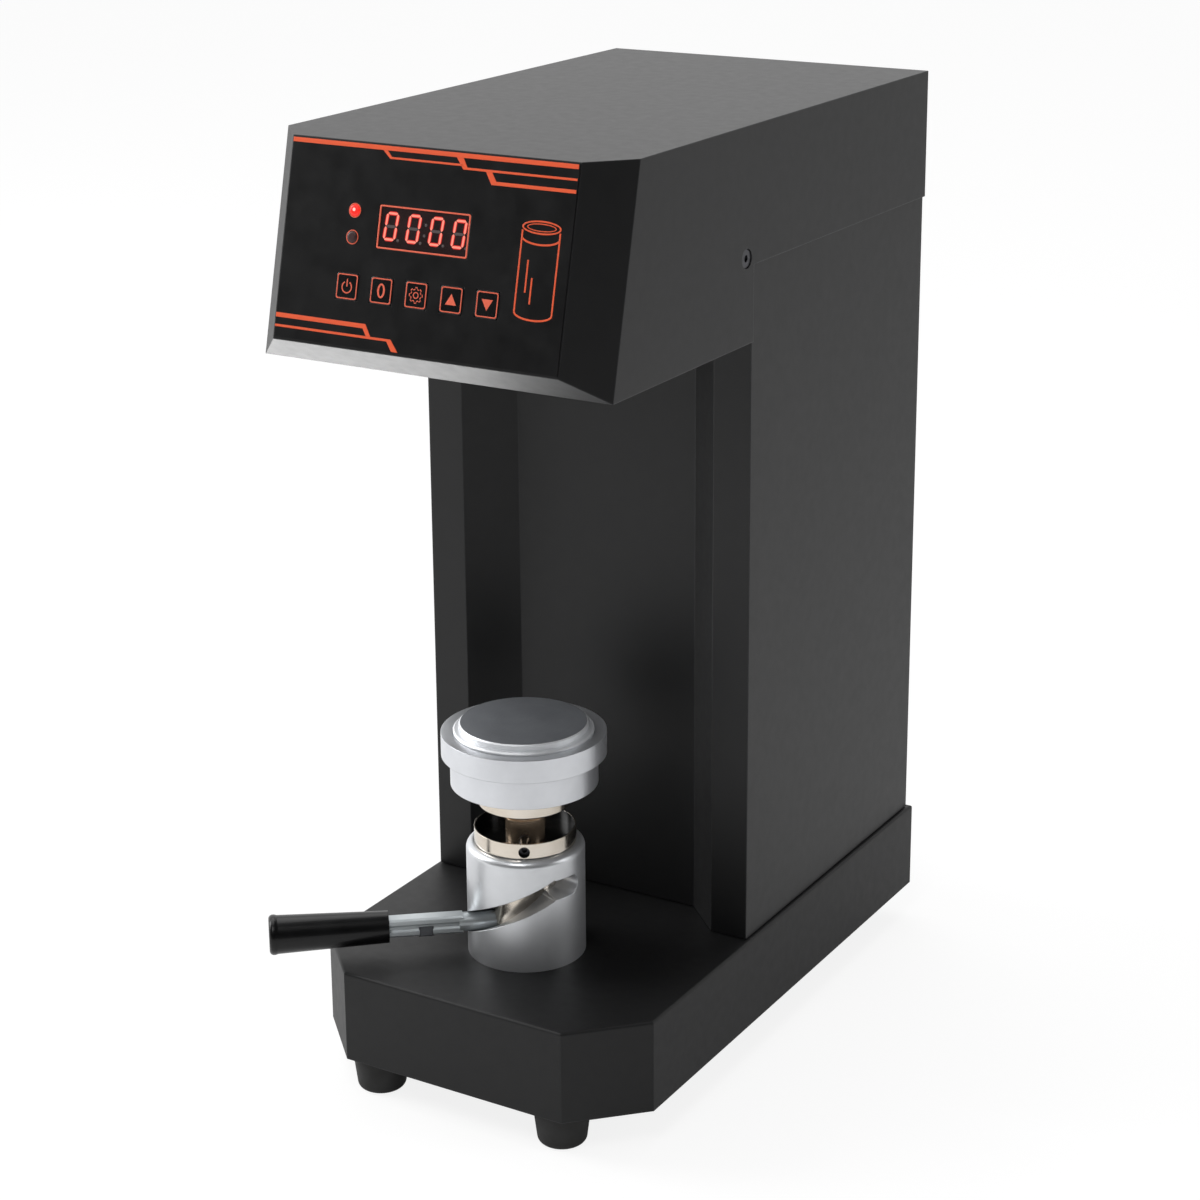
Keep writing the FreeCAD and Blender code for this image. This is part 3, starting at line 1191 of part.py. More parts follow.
def make_plunger():
    axis = "-axis_reach"
    low = "deck + plunger_foot_gap"
    plunger = turned("plunger", [
        ("0", low), ("plunger_radius - plunger_edge", low),
        ("plunger_radius", f"{low} + plunger_edge"),
        ("plunger_radius", "cup_bottom"), ("spindle_radius + running_gap", "cup_bottom"),
        ("spindle_radius + running_gap", "cup_bottom - spindle_depth"),
        ("0", "cup_bottom - spindle_depth"),
    ], y=axis)
    hole = radial_sketch(plunger, value("lever_angle"), "neck_inner - fit_gap")
    circle(hole, "0", "lever_level", "bush_radius + running_gap / 2")
    add_pocket(plunger, hole, "plunger_radius * 2", reverse=True)
    spindle = turned("lifter_spindle", [
        ("0", "cup_bottom - spindle_depth + fit_gap"),
        ("spindle_radius", "cup_bottom - spindle_depth + fit_gap"),
        ("spindle_radius", "nut_top"), ("journal_radius", "nut_top"),
        ("journal_radius", "drum_bottom + journal_height"),
        ("0", "drum_bottom + journal_height"),
    ], y=axis)
    cup = turned("dust_cup", [
        ("spindle_radius + running_gap", "0"), ("cup_radius", "0"), ("cup_radius", "cup_height"),
        ("cup_radius - cup_wall", "cup_height"), ("cup_radius - cup_wall", "cup_floor"),
        ("spindle_radius + running_gap", "cup_floor"),
    ], y=axis, z="cup_bottom")
    angle = value("set_screw_angle")
    boss = radial_sketch(cup, angle, "spindle_radius + cup_boss_start")
    circle(boss, "0", "set_screw_rise", "set_screw_radius + cup_boss_wall")
    add_pad(cup, boss, "cup_radius - spindle_radius - cup_boss_start - cup_wall / 2")
    bore = radial_sketch(cup, angle, "spindle_radius")
    circle(bore, "0", "set_screw_rise", "set_screw_radius + running_gap")
    add_pocket(cup, bore, "cup_radius", reverse=True)
    socket = new_body("cup_setscrew", y=axis, z="cup_bottom + set_screw_rise",
                      rotation=Rotation(Vector(0, 0, 1), value("set_screw_angle")))
    tip = "spindle_radius + turning_gap"
    face = f"({tip} + set_screw_length)"
    socket_floor = f"{face} - set_screw_socket_depth"
    add_rod(socket, [
        (tip, "0"), (tip, "set_screw_radius"), (face, "set_screw_radius"),
        (face, "set_screw_socket"), (socket_floor, "set_screw_socket"), (socket_floor, "0"),
    ])
    nut = turned("flange_nut", [
        ("spindle_radius + running_gap", "0"), ("nut_radius - nut_edge", "0"),
        ("nut_radius", "nut_edge"), ("nut_radius", "nut_height"),
        ("spindle_radius + running_gap", "nut_height"),
    ], y=axis, z="nut_bottom")
    return [plunger, spindle, cup, socket, nut]


def make_tray():
    axis = "-axis_reach"
    cavity = "thrust_radius + running_gap"
    drum = turned("tray_drum", [
        ("journal_radius + running_gap", "drum_bottom"), ("drum_radius", "drum_bottom"),
        ("drum_radius", "drum_top"), (cavity, "drum_top"), (cavity, "thrust_bottom"),
        ("journal_radius + running_gap", "thrust_bottom"),
    ], y=axis)
    ring = turned("tray_ring", [
        ("ring_floor_bore", "drum_top"), ("ring_radius", "drum_top"), ("ring_radius", "ring_top"),
        ("ring_radius - ring_wall", "ring_top"),
        ("ring_radius - ring_wall", "drum_top + ring_floor"),
        ("ring_floor_bore", "drum_top + ring_floor"),
    ], y=axis)
    bearing = turned("thrust_bearing", [
        ("thrust_bore", "thrust_bottom"), ("thrust_radius", "thrust_bottom"),
        ("thrust_radius", "thrust_bottom + thrust_height / 3"),
        ("thrust_radius - thrust_race_step", "thrust_bottom + thrust_height / 3"),
        ("thrust_radius - thrust_race_step", "thrust_top - thrust_height / 3"),
        ("thrust_radius", "thrust_top - thrust_height / 3"), ("thrust_radius", "thrust_top"),
        ("thrust_bore", "thrust_top"), ("thrust_bore", "thrust_top - thrust_height / 3"),
        ("thrust_bore + thrust_race_step", "thrust_top - thrust_height / 3"),
        ("thrust_bore + thrust_race_step", "thrust_bottom + thrust_height / 3"),
        ("thrust_bore", "thrust_bottom + thrust_height / 3"),
    ], y=axis)
    rim = "ring_radius - ring_wall - pad_gap"
    pad = turned("tray_pad", [
        ("0", "thrust_top + fit_gap"), ("thrust_radius - pad_boss_gap", "thrust_top + fit_gap"),
        ("thrust_radius - pad_boss_gap", "drum_top + ring_floor + turning_gap"),
        (rim, "drum_top + ring_floor + turning_gap"), (rim, "pad_step - pad_edge"),
        (f"{rim} - pad_edge", "pad_step"), ("pad_radius + pad_edge", "pad_step"),
        ("pad_radius + pad_edge", "pad_top - pad_edge"), ("pad_radius", "pad_top"),
        ("0", "pad_top"),
    ], y=axis)
    return [drum, ring, bearing, pad]


# Power inlet

def make_inlet():
    """A mains inlet and a rocker switch in one moulding that clips into the back cover."""
    back = "(column_back + cover_sheet)"
    inlet = new_body("power_inlet", x="inlet_x", y=back, z="inlet_level")
    body = new_sketch(inlet, "XZ_Plane")
    polygon(body, box_corners("0", "0", "inlet_width", "inlet_height"))
    add_pad(inlet, body, "inlet_depth")
    flange = new_sketch(inlet, "XZ_Plane")
    polygon(flange, box_corners("0", "0", "inlet_width", "inlet_height", "inlet_flange"))
    add_pad(inlet, flange, "inlet_proud", reverse=True)
    socket = new_sketch(inlet, "XZ_Plane", "-inlet_proud")
    wide = "socket_width / 2"
    low = "-socket_drop - socket_height / 2"
    high = "-socket_drop + socket_height / 2"
    polygon(socket, [
        (f"-{wide}", low), (wide, low), (wide, f"{high} - socket_corner"),
        (f"{wide} - socket_corner", high), (f"-{wide} + socket_corner", high),
        (f"-{wide}", f"{high} - socket_corner"),
    ])
    add_pocket(inlet, socket, "socket_depth + inlet_proud", reverse=True)
    blades = new_sketch(inlet, "XZ_Plane", "socket_depth")
    for x, z in (("-blade_spread", "-socket_drop - blade_offset"),
                 ("blade_spread", "-socket_drop - blade_offset"),
                 ("0", "-socket_drop + blade_offset")):
        polygon(blades, box_corners(x, z, "blade_thickness", "blade_width"))
    add_pad(inlet, blades, "blade_length", reverse=True)
    pit = new_sketch(inlet, "XZ_Plane", "-inlet_proud")
    polygon(pit, box_corners("0", "rocker_rise", "rocker_width", "rocker_height", "turning_gap"))
    add_pocket(inlet, pit, "rocker_depth + inlet_proud", reverse=True)
    seat = new_sketch(inlet, "YZ_Plane")
    circle(seat, "0", "rocker_rise", "rocker_pin_radius + running_gap")
    add_pocket(inlet, seat, "rocker_width + 2 * (rocker_pin_reach + turning_gap)",
               side="Symmetric")

    rocker = new_body("switch_rocker", x="inlet_x", y=back, z="inlet_level + rocker_rise")
    side = new_sketch(rocker, "YZ_Plane")
    proud = "rocker_proud_angle * 1deg"
    flush = "rocker_level_angle * 1deg"
    end = "(rocker_height / 2)"
    # Both ends stay inside one radius about the pivot, so the rocker turns in its pit
    polygon(side, [
        (f"{end} * sin({proud})", f"-{end} * cos({proud})"),
        (f"{end} * sin({flush}) - rocker_dip", "0"),
        (f"{end} * sin({flush})", f"{end} * cos({flush})"),
        ("-rocker_neck", f"{end} * cos({proud})"),
        ("-rocker_neck * 2", "0"),
        ("-rocker_neck", f"-{end} * cos({proud})"),
    ])
    add_pad(rocker, side, "rocker_width", side="Symmetric")
    pin = new_sketch(rocker, "YZ_Plane")
    circle(pin, "0", "0", "rocker_pin_radius")
    add_pad(rocker, pin, "rocker_width + 2 * rocker_pin_reach", side="Symmetric")
    return [inlet, rocker]


def main():
    fill_sheet()
    parts = []
    for make in (make_base, make_column, make_frames, make_hood, make_underside, make_panel,
                 make_spindle, make_motor, make_yoke, make_gearmotor, make_barrel, make_lever,
                 make_plunger, make_tray, make_inlet):
        parts += make()
    doc.recompute()
    for item in doc.Objects:
        if "Invalid" in item.State or "Error" in item.State:
            raise RuntimeError(f"{item.Label} failed: {item.State}")
    for part in parts:
        if part.Shape.isNull() or not part.Shape.isValid() or not part.Shape.Solids:
            raise RuntimeError(f"{part.Label} has no valid solid")
    os.makedirs("parts", exist_ok=True)
    for part in parts:
        part.Shape.exportStep(os.path.join("parts", f"{part.Label}.step"))
    print(len(parts), "parts")


main()
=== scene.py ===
import json
import math

import bmesh
import bpy
from mathutils import Matrix, Vector


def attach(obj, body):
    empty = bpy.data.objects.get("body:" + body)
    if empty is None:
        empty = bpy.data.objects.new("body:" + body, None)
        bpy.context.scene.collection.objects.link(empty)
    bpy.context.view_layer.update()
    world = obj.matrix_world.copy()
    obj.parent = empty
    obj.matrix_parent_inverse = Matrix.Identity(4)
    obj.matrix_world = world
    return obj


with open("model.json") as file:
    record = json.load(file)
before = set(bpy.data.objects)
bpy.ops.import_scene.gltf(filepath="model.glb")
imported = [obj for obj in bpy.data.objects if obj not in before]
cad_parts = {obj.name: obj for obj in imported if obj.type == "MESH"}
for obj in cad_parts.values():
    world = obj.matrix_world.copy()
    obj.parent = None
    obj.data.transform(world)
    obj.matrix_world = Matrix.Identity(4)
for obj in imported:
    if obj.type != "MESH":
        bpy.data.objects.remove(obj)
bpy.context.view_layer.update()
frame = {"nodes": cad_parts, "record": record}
NODES = frame["nodes"]
MM = 0.001

# Reference places of the object, in metres
AXIS = (0.0, -0.098)
CUP_INSIDE = 0.0259
PAD_SHOULDER = 0.1980
FACE_TOP = Vector((0.0, -0.1672, 0.5063))
LEAN = math.radians(13.3)
FACE_DOWN = Vector((0.0, -math.sin(LEAN), -math.cos(LEAN)))
FACE_OUT = Vector((0.0, -math.cos(LEAN), math.sin(LEAN)))


# Materials

def display(red, green, blue):
    """A screen colour from 0 to 255 as linear light."""
    def channel(part):
        part /= 255
        return part / 12.92 if part <= 0.04045 else ((part + 0.055) / 1.055) ** 2.4
    return (channel(red), channel(green), channel(blue), 1.0)


WHITE = (1, 1, 1, 1)
DEEP_BLACK = (0.006, 0.006, 0.006, 1)


class Graph:
    """Shorthand for a tree of shader nodes."""

    def __init__(self, tree):
        self.nodes = tree.nodes
        self.links = tree.links

    def feed(self, target, value):
        """Link an output to a socket, or write a plain value on it."""
        if isinstance(value, bpy.types.NodeSocket):
            self.links.new(value, target)
        else:
            target.default_value = value

    def add(self, kind, inputs=(), **settings):
        """A new node with its settings, and with each input fed."""
        node = self.nodes.new("ShaderNode" + kind)
        for name, value in settings.items():
            setattr(node, name, value)
        for socket, value in dict(inputs).items():
            self.feed(node.inputs[socket], value)
        return node

    def math(self, operation, first, second):
        """The outcome of an operation on two values."""
        return self.add("Math", {0: first, 1: second}, operation=operation).outputs[0]

    def blend(self, factor, first, second):
        """A colour from the first, at factor nought, to the second, at one."""
        return self.add("Mix", {0: factor, 6: first, 7: second}, data_type="RGBA").outputs[2]

    def spread(self, value, low, high, start=0.3, end=0.7, interpolation="LINEAR"):
        """Carry a value between start and end over to one between low and high."""
        ends = {"Value": value, "From Min": start, "From Max": end, "To Min": low, "To Max": high}
        return self.add("MapRange", ends, interpolation_type=interpolation).outputs["Result"]

    def seen_directly(self):
        """One for what the camera sees, also through something clear."""
        path = self.add("LightPath").outputs
        return self.math("MAXIMUM", path["Is Camera Ray"], path["Is Transmission Ray"])

    def seen_by_gloss(self):
        """One for what a polished surface mirrors."""
        return self.add("LightPath").outputs["Is Glossy Ray"]


class Finish(Graph):
    """A procedural material round one Principled shader."""

    def __init__(self, name, color, metallic=0.0):
        self.material = bpy.data.materials.new(name)
        self.material.use_nodes = True
        super().__init__(self.material.node_tree)
        self.shader = self.nodes["Principled BSDF"]
        self.set("Base Color", color)
        self.set("Metallic", metallic)

    def set(self, socket, value):
        """Feed one of the shader's sockets."""
        self.feed(self.shader.inputs[socket], value)

    def place(self, stretch=(1, 1, 1)):
        """Position on the piece in metres, stretched."""
        spot = self.add("TexCoord").outputs["Object"]
        return self.add("VectorMath", {0: spot, 1: stretch}, operation="MULTIPLY").outputs["Vector"]

    def lathe(self, drift=0.0):
        """Radius, turn times drift, and height about the seaming axis.

        Noise over these becomes turning rings."""
        spot = self.add("TexCoord").outputs["Object"]
        away = self.add("VectorMath", {0: spot, 1: (*AXIS, 0)}, operation="SUBTRACT")
        parts = self.add("SeparateXYZ", {0: away.outputs["Vector"]}).outputs
        flat = self.add("CombineXYZ", {"X": parts["X"], "Y": parts["Y"]}).outputs[0]
        radius = self.add("VectorMath", {0: flat}, operation="LENGTH").outputs["Value"]
        turn = self.math("ARCTAN2", parts["Y"], parts["X"])
        along = self.math("MULTIPLY", turn, drift)
        return self.add("CombineXYZ", {"X": radius, "Y": along, "Z": parts["Z"]}).outputs[0]

    def noise(self, place, scale, detail, rough=0.55):
        """Noise with a scale in waves to the metre."""
        return self.add("TexNoise", {"Vector": place, "Scale": scale, "Detail": detail,
                                     "Roughness": rough}).outputs["Fac"]

    def mottle(self, first, second, scale):
        """Vary the base colour in soft patches, and return the patches."""
        cloud = self.noise(self.place(), scale, 3)
        self.set("Base Color", self.blend(self.spread(cloud, 0, 1), first, second))
        return cloud

    def roughen(self, value, low, high):
        """Vary the roughness between two levels."""
        self.set("Roughness", self.spread(value, low, high))

    def soft_edges(self, radius):
        """A normal that rounds each sharp edge a little."""
        return self.add("Bevel", {"Radius": radius}, samples=6).outputs["Normal"]

    def edge_highlight_mask(self, radius, strength):
        """The strength close to a sharp edge, and nought on flats, for painting highlights on the
        edges.
        """
        flat = self.add("NewGeometry").outputs["Normal"]
        alike = self.add("VectorMath", {0: self.soft_edges(radius), 1: flat},
                         operation="DOT_PRODUCT").outputs["Value"]
        return self.spread(alike, strength, 0.0, 0.85, 1.0)

    def bump(self, heights, normal):
        """Stack bumps on a normal, each a height output, its depth in metres and its strength."""
        for height, depth, strength in heights:
            normal = self.add("Bump", {"Distance": depth, "Strength": strength, "Height": height,
                                       "Normal": normal}).outputs["Normal"]
        self.set("Normal", normal)

    def paint_where(self, mask, color):
        """Put another colour over the base colour where a mask is one."""
        under = self.shader.inputs["Base Color"].links[0].from_socket
        self.set("Base Color", self.blend(mask, under, color))

    def paint_below(self, height, color):
        """Give another colour to all that lies lower than a height."""
        level = self.add("SeparateXYZ", {0: self.place()}).outputs["Z"]
        self.paint_where(self.math("LESS_THAN", level, height), color)

    def blacken_inside(self, radius):
        """Make all that lies nearer to the seaming axis than a radius black and dull."""
        distance = self.add("SeparateXYZ", {0: self.lathe()}).outputs["X"]
        inside = self.math("LESS_THAN", distance, radius)
        self.paint_where(inside, DEEP_BLACK)
        self.set("Metallic", self.spread(inside, 1.0, 0.0, 0.0, 1.0))


def powder_coat(name, color, highlight_color, rough):
    """Satin powder coat: fine grain, faint unevenness, and a painted highlight that makes the bends
    paler.
    """
    finish = Finish(name, color)
    finish.set("Specular IOR Level", 0.38)
    place = finish.place()
    fine = finish.noise(place, 2600, 2)
    wide = finish.noise(place, 9, 3)
    mottled = finish.noise(place, 160, 4)
    # Painted highlight: a paler colour along sharp edges and bends, for the light they catch
    finish.set("Base Color", finish.blend(finish.edge_highlight_mask(0.0012, 0.8), color, highlight_color))
    finish.roughen(mottled, *rough)
    finish.bump([(fine, 0.00004, 0.25), (wide, 0.0006, 0.01)], finish.soft_edges(0.0009))
    return finish


def turned_metal(name, color, shade, rough, metallic=1.0, pitch=900, ring=0.35, anisotropic=0.0):
    """Metal with lathe rings about the seaming axis: pitch is how fine, ring how strong."""
    finish = Finish(name, color, metallic)
    finish.set("Anisotropic", anisotropic)
    rings = finish.noise(finish.lathe(0.0004), pitch, 4, 0.7)
    finish.mottle(color, shade, 55)
    finish.roughen(rings, *rough)
    finish.bump([(rings, 0.00004, ring)], finish.soft_edges(0.0004))
    return finish


def brushed_metal(name, color, shade, rough, stretch, metallic=1.0):
    """Metal with straight brush marks along the axis that is stretched least."""
    finish = Finish(name, color, metallic)
    marks = finish.noise(finish.place(stretch), 900, 4, 0.7)
    finish.mottle(color, shade, 40)
    finish.roughen(marks, *rough)
    finish.bump([(marks, 0.00004, 0.3)], finish.soft_edges(0.0005))
    return finish


def moulded(name, color, shade, rough, grain=0.1, scale=1500, coat=0.0, coat_rough=0.1,
            specular=0.5):
    """Moulded plastic or rubber, or a print on film."""
    finish = Finish(name, color)
    finish.set("Coat Weight", coat)
    finish.set("Coat Roughness", coat_rough)
    finish.set("Specular IOR Level", specular)
    fine = finish.noise(finish.place(), scale, 3)
    cloud = finish.mottle(color, shade, 70)
    finish.roughen(cloud, *rough)
    finish.bump([(fine, 0.00005, grain)], finish.soft_edges(0.0005))
    return finish


def glowing(name, color, strength):
    """A surface that gives light, a little uneven as a lamp behind plastic is."""
    unlit = tuple(part * 0.4 for part in color[:3]) + (1,)
    faint = tuple(part * 0.85 for part in color[:3]) + (1,)
    finish = Finish(name, unlit)
    finish.set("Roughness", 0.35)
    cloud = finish.noise(finish.place(), 700, 2)
    finish.set("Emission Color", finish.blend(finish.spread(cloud, 0, 1), color, faint))
    finish.set("Emission Strength", strength)
    return finish


# Coats and sheet; the second colour of each is a painted highlight on its edges
COAT = powder_coat("coat_black", display(15, 15, 16), display(46, 46, 48), (0.42, 0.46))
DECK = powder_coat("coat_deck", display(15, 15, 16), display(46, 46, 48), (0.50, 0.55))
SHEET = powder_coat("sheet_black", display(24, 24, 25), display(52, 52, 52), (0.5, 0.6))

# Metals
SCREW = brushed_metal("screw_dark", display(92, 92, 96), display(70, 70, 74), (0.3, 0.5),
                      stretch=(1, 1, 1))
ZINC_SHEET = brushed_metal("frame_zinc", display(150, 153, 158), display(128, 130, 134),
                           (0.35, 0.55), stretch=(1, 1, 0.05))
ZINC = brushed_metal("zinc_bright", display(206, 212, 214), display(188, 194, 197),
                     (0.30, 0.45), stretch=(0.08, 0.1, 1), metallic=0.65)
STEEL = turned_metal("steel_ground", display(176, 178, 182), display(160, 162, 166), (0.2, 0.36))
PULLEY = turned_metal("pulley_alloy", display(198, 200, 204), display(186, 188, 192),
                      (0.28, 0.42))
BARREL = turned_metal("barrel_satin", display(220, 222, 225), display(211, 213, 216),
                      (0.30, 0.38), metallic=0.78, ring=0.25, anisotropic=0.3)
RING = turned_metal("tray_bright", display(222, 224, 228), display(212, 214, 218),
                    (0.30, 0.40), metallic=0.85, pitch=1400, ring=0.12)
PAD = turned_metal("pad_satin", display(144, 147, 152), display(134, 137, 142), (0.45, 0.55),
                   metallic=0.70, pitch=1800, ring=0.12)
# Painted highlight: the bevel and sides below the pad's shoulder are painted paler than its top
PAD.paint_below(PAD_SHOULDER, display(236, 238, 241))
NICKEL = turned_metal("nickel_warm", display(222, 214, 203), display(208, 198, 184),
                      (0.14, 0.22), pitch=1100, ring=0.2)
CUP = turned_metal("nickel_cup", display(222, 214, 203), display(208, 198, 184), (0.14, 0.22),
                   pitch=1100, ring=0.2)
CUP.blacken_inside(CUP_INSIDE)
SPINDLE = turned_metal("spindle_brown", display(222, 198, 172), display(200, 174, 146),
                       (0.20, 0.28), metallic=0.80, pitch=1100, ring=0.1)
BRASS = turned_metal("brass_yellow", display(196, 172, 120), display(178, 152, 100), (0.2, 0.35))

# Plastics, rubber and prints
RUBBER = moulded("rubber_black", display(20, 20, 20), display(30, 29, 28), (0.55, 0.75),
                 grain=0.5)
FILM = moulded("film_black", display(8, 8, 9), display(11, 11, 12), (0.34, 0.42), grain=0.25,
               scale=2600, specular=0.30)
KEY_FILM = moulded("key_black", display(15, 15, 16), display(19, 19, 20), (0.16, 0.24),
                   scale=2600, coat=0.6, coat_rough=0.08)
WINDOW = moulded("window_smoke", display(38, 26, 27), display(46, 30, 30), (0.18, 0.26),
                 scale=2600, coat=0.4, coat_rough=0.08)
BOARD = moulded("board_green", display(20, 82, 48), display(16, 70, 42), (0.35, 0.5), grain=0.2)
PLASTIC = moulded("plastic_black", display(22, 22, 23), display(28, 28, 29), (0.35, 0.5),
                  grain=0.35)
CASTING = moulded("casting_grey", display(70, 72, 76), display(60, 62, 66), (0.5, 0.7),
                  grain=0.8, scale=500, coat=0.1, coat_rough=0.3)
BELT = moulded("belt_black", display(16, 16, 17), display(24, 24, 24), (0.6, 0.8), grain=0.6)
BLOCK = moulded("block_grey", display(92, 94, 98), display(80, 82, 86), (0.45, 0.60), grain=0.4)
GRIP = moulded("grip_gloss", display(8, 8, 9), display(12, 12, 13), (0.30, 0.38), grain=0.05,
               coat=0.15, specular=0.22)
ORANGE = moulded("print_orange", display(252, 98, 50), display(242, 90, 44), (0.45, 0.55))
SALMON = moulded("print_salmon", display(250, 112, 82), display(240, 104, 74), (0.45, 0.55))
UNLIT = moulded("digit_unlit", display(96, 86, 86), display(88, 78, 78), (0.3, 0.4))
LAMP_OFF = moulded("lamp_dark", display(62, 32, 32), display(54, 28, 28), (0.40, 0.50))

# Lit digits and lamp
LIT = glowing("digit_lit", display(255, 138, 120), 1.0)
HALO = glowing("digit_halo", display(214, 42, 36), 0.8)
LAMP = glowing("lamp_red", display(250, 40, 30), 1.0)
LAMP_CORE = glowing("lamp_core", display(255, 196, 186), 1.0)

FINISHES = {
    "powder_coat": COAT, "plated_sheet": SHEET, "rubber": RUBBER, "screw_steel": SCREW,
    "frame_steel": ZINC_SHEET, "overlay_film": FILM, "display": WINDOW, "lamp_lit": LAMP,
    "lamp_off": LAMP_OFF, "key_film": KEY_FILM, "circuit_board": BOARD,
    "inlet_plastic": PLASTIC, "cast_housing": CASTING, "ground_steel": STEEL,
    "pulley_alloy": PULLEY, "belt": BELT, "barrel_alloy": BARREL, "tray_alloy": RING,
    "pad_alloy": PAD, "nickel": NICKEL, "zinc_plate": ZINC, "brass_bush": BRASS,
    "grip_plastic": GRIP,
}
OWN_FINISHES = {"dust_cup": CUP, "base_shell": DECK, "lifter_spindle": SPINDLE}
for part in frame["record"]["subparts"]:
    mesh = NODES[part["node"]].data
    finish = OWN_FINISHES.get(part["node"], FINISHES[part["material_slot"]])
    mesh.materials.clear()
    mesh.materials.append(finish.material)


# Pieces

CORNER_STEPS = 5


def finish_piece(name, bm, body, finish, smooth=False):
    """Turn a bmesh into a piece that rides on a body."""
    bmesh.ops.recalc_face_normals(bm, faces=bm.faces)
    mesh = bpy.data.meshes.new(name)
    bm.to_mesh(mesh)
    bm.free()
    mesh.materials.append(finish.material)
    for face in mesh.polygons:
        face.use_smooth = smooth
    piece = bpy.data.objects.new(name, mesh)
    bpy.context.scene.collection.objects.link(piece)
    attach(piece, body)


def join_rows(bm, rows, closed=False):
    """Faces between rows of as many points, each row a closed loop."""
    pairs = list(zip(rows, rows[1:]))
    if closed:
        pairs.append((rows[-1], rows[0]))
    for first, second in pairs:
        for i in range(len(first)):
            j = (i + 1) % len(first)
            bm.faces.new((first[i], first[j], second[j], second[i]))


def on_face(across, down, out):
    """A point of the leaning control face from millimetres across, down and out of it."""
    return FACE_TOP + Vector((across * MM, 0, 0)) + FACE_DOWN * (down * MM) + FACE_OUT * (out * MM)


def face_row(bm, outline, level):
    """The points of an outline on the control face, at a height above it."""
    return [bm.verts.new(on_face(u, v, level)) for u, v in outline]


def add_prism(bm, outline, low, high):
    """A flat outline on the control face, between two heights, with straight walls."""
    lower = face_row(bm, outline, low)
    upper = face_row(bm, outline, high)
    bm.faces.new(upper)
    bm.faces.new(lower[::-1])
    join_rows(bm, [lower, upper])


def add_band(bm, outer, inner, low, high):
    """A closed band between two outlines of as many points."""
    join_rows(bm, [face_row(bm, outer, low), face_row(bm, outer, high),
                   face_row(bm, inner, high), face_row(bm, inner, low)], closed=True)


def rounded_box(center_u, center_v, width, height, radius):
    """The outline of a box with round corners."""
    points = []
    for sign_u, sign_v, start in ((1, -1, -90), (1, 1, 0), (-1, 1, 90), (-1, -1, 180)):
        u = center_u + sign_u * (width / 2 - radius)
        v = center_v + sign_v * (height / 2 - radius)
        for k in range(CORNER_STEPS + 1):
            turn = math.radians(start + 90 * k / CORNER_STEPS)
            points.append((u + radius * math.cos(turn), v + radius * math.sin(turn)))
    return points


def ellipse(center_u, center_v, radius_u, radius_v, steps=40, start=0, end=360):
    """A closed ellipse, or its arc from start to end in degrees."""
    closed = end - start == 360
    count = steps if closed else steps + 1
    turns = [math.radians(start + (end - start) * k / steps) for k in range(count)]
    return [(center_u + radius_u * math.cos(turn), center_v + radius_v * math.sin(turn))
            for turn in turns]


def side_of(start, end, width):
    """Half a width square to the way from start to end, and that way itself."""
    along = (Vector(end) - Vector(start)).normalized()
    return Vector((-along.y, along.x)) * (width / 2), along


def stroke(points, width):
    """The outline of a line of some width along points, cut square at its ends."""
    left, right = [], []
    for i, point in enumerate(points):
        side, _ = side_of(points[max(i - 1, 0)], points[min(i + 1, len(points) - 1)], width)
        left.append(tuple(Vector(point) + side))
        right.append(tuple(Vector(point) - side))
    return left + right[::-1]


# The control face in millimetres: across it, down it, and out of it
FILM_TOP, INK = 0.4, 0.05
LEFT, RIGHT = -79.8, 79.4
UPPER_LINES = [
    [(LEFT, 1.0), (RIGHT, 1.0), (RIGHT, 3.2), (LEFT, 3.2)],
    [(-27.4, 3.15), (-24.8, 3.15), (-22.1, 6.0), (17.0, 6.0), (17.6, 7.0), (-23.0, 7.0)],
    [(13.8, 3.15), (17.6, 3.15), (20.2, 7.4), (RIGHT, 7.4), (RIGHT, 8.5), (18.0, 8.5)],
    [(30.5, 8.45), (33.9, 8.45), (36.6, 12.5), (RIGHT, 12.5), (RIGHT, 14.2), (34.1, 14.2)],
]
LOWER_LINES = [
    [(LEFT, 85.0), (-27.4, 85.0), (-23.9, 90.65), (-26.6, 90.65), (-28.8, 87.2), (LEFT, 87.2)],
    [(LEFT, 90.6), (-12.4, 90.6), (-7.7, 96.3), (-11.4, 96.3), (-14.6, 91.8), (LEFT, 91.8)],
]
CAN_U, CAN_HALF, CAN_TOP, CAN_BOTTOM, CAN_RIM, CAN_LINE = 63.5, 10.5, 31.0, 70.0, 3.2, 0.9
WIN_LEFT, WIN_RIGHT, WIN_TOP, WIN_BOTTOM = -25.9, 24.9, 28.5, 49.0
WIN_LINE, WIN_CORNER, WIN_INNER_CORNER, WIN_OVER = 0.8, 0.9, 0.4, 0.02
DIGIT_W, DIGIT_H, DIGIT_TOP, SLANT, BAR, BAR_GAP = 7.2, 13.6, 31.4, 0.09, 1.35, 0.18
HALO_MORE, LIT_LESS, POINT = 0.5, 0.35, 0.75
DIGIT_LEFTS = (-23.1, -10.4, 2.3, 15.0)
COLON_DOWN = (4.4, 9.4)
LAMP_U, LAMP_RIM, LAMP_RADIUS = -40.0, 3.5, 2.95
LAMP_V = {"auto_ring": 32.6, "manual_ring": 45.2}
CORE_V, CORE_RADIUS, CORE_TOP, CORE_FALL, CORE_RINGS, CORE_STEPS = 32.2, 1.3, 1.34, 0.10, 6, 24
KEY_V, KEY_WIDTH, KEY_HEIGHT, KEY_CORNER, KEY_INNER_CORNER = 68.6, 11.7, 11.9, 1.2, 0.8
KEY_LINE, SIGN_LINE, KEY_TOP, KEY_INK = 0.6, 0.65, 0.6, 0.04
KEY_U = {"key_power": -40.1, "key_reset": -20.4, "key_set": -0.7, "key_up": 19.0,
         "key_down": 38.7}


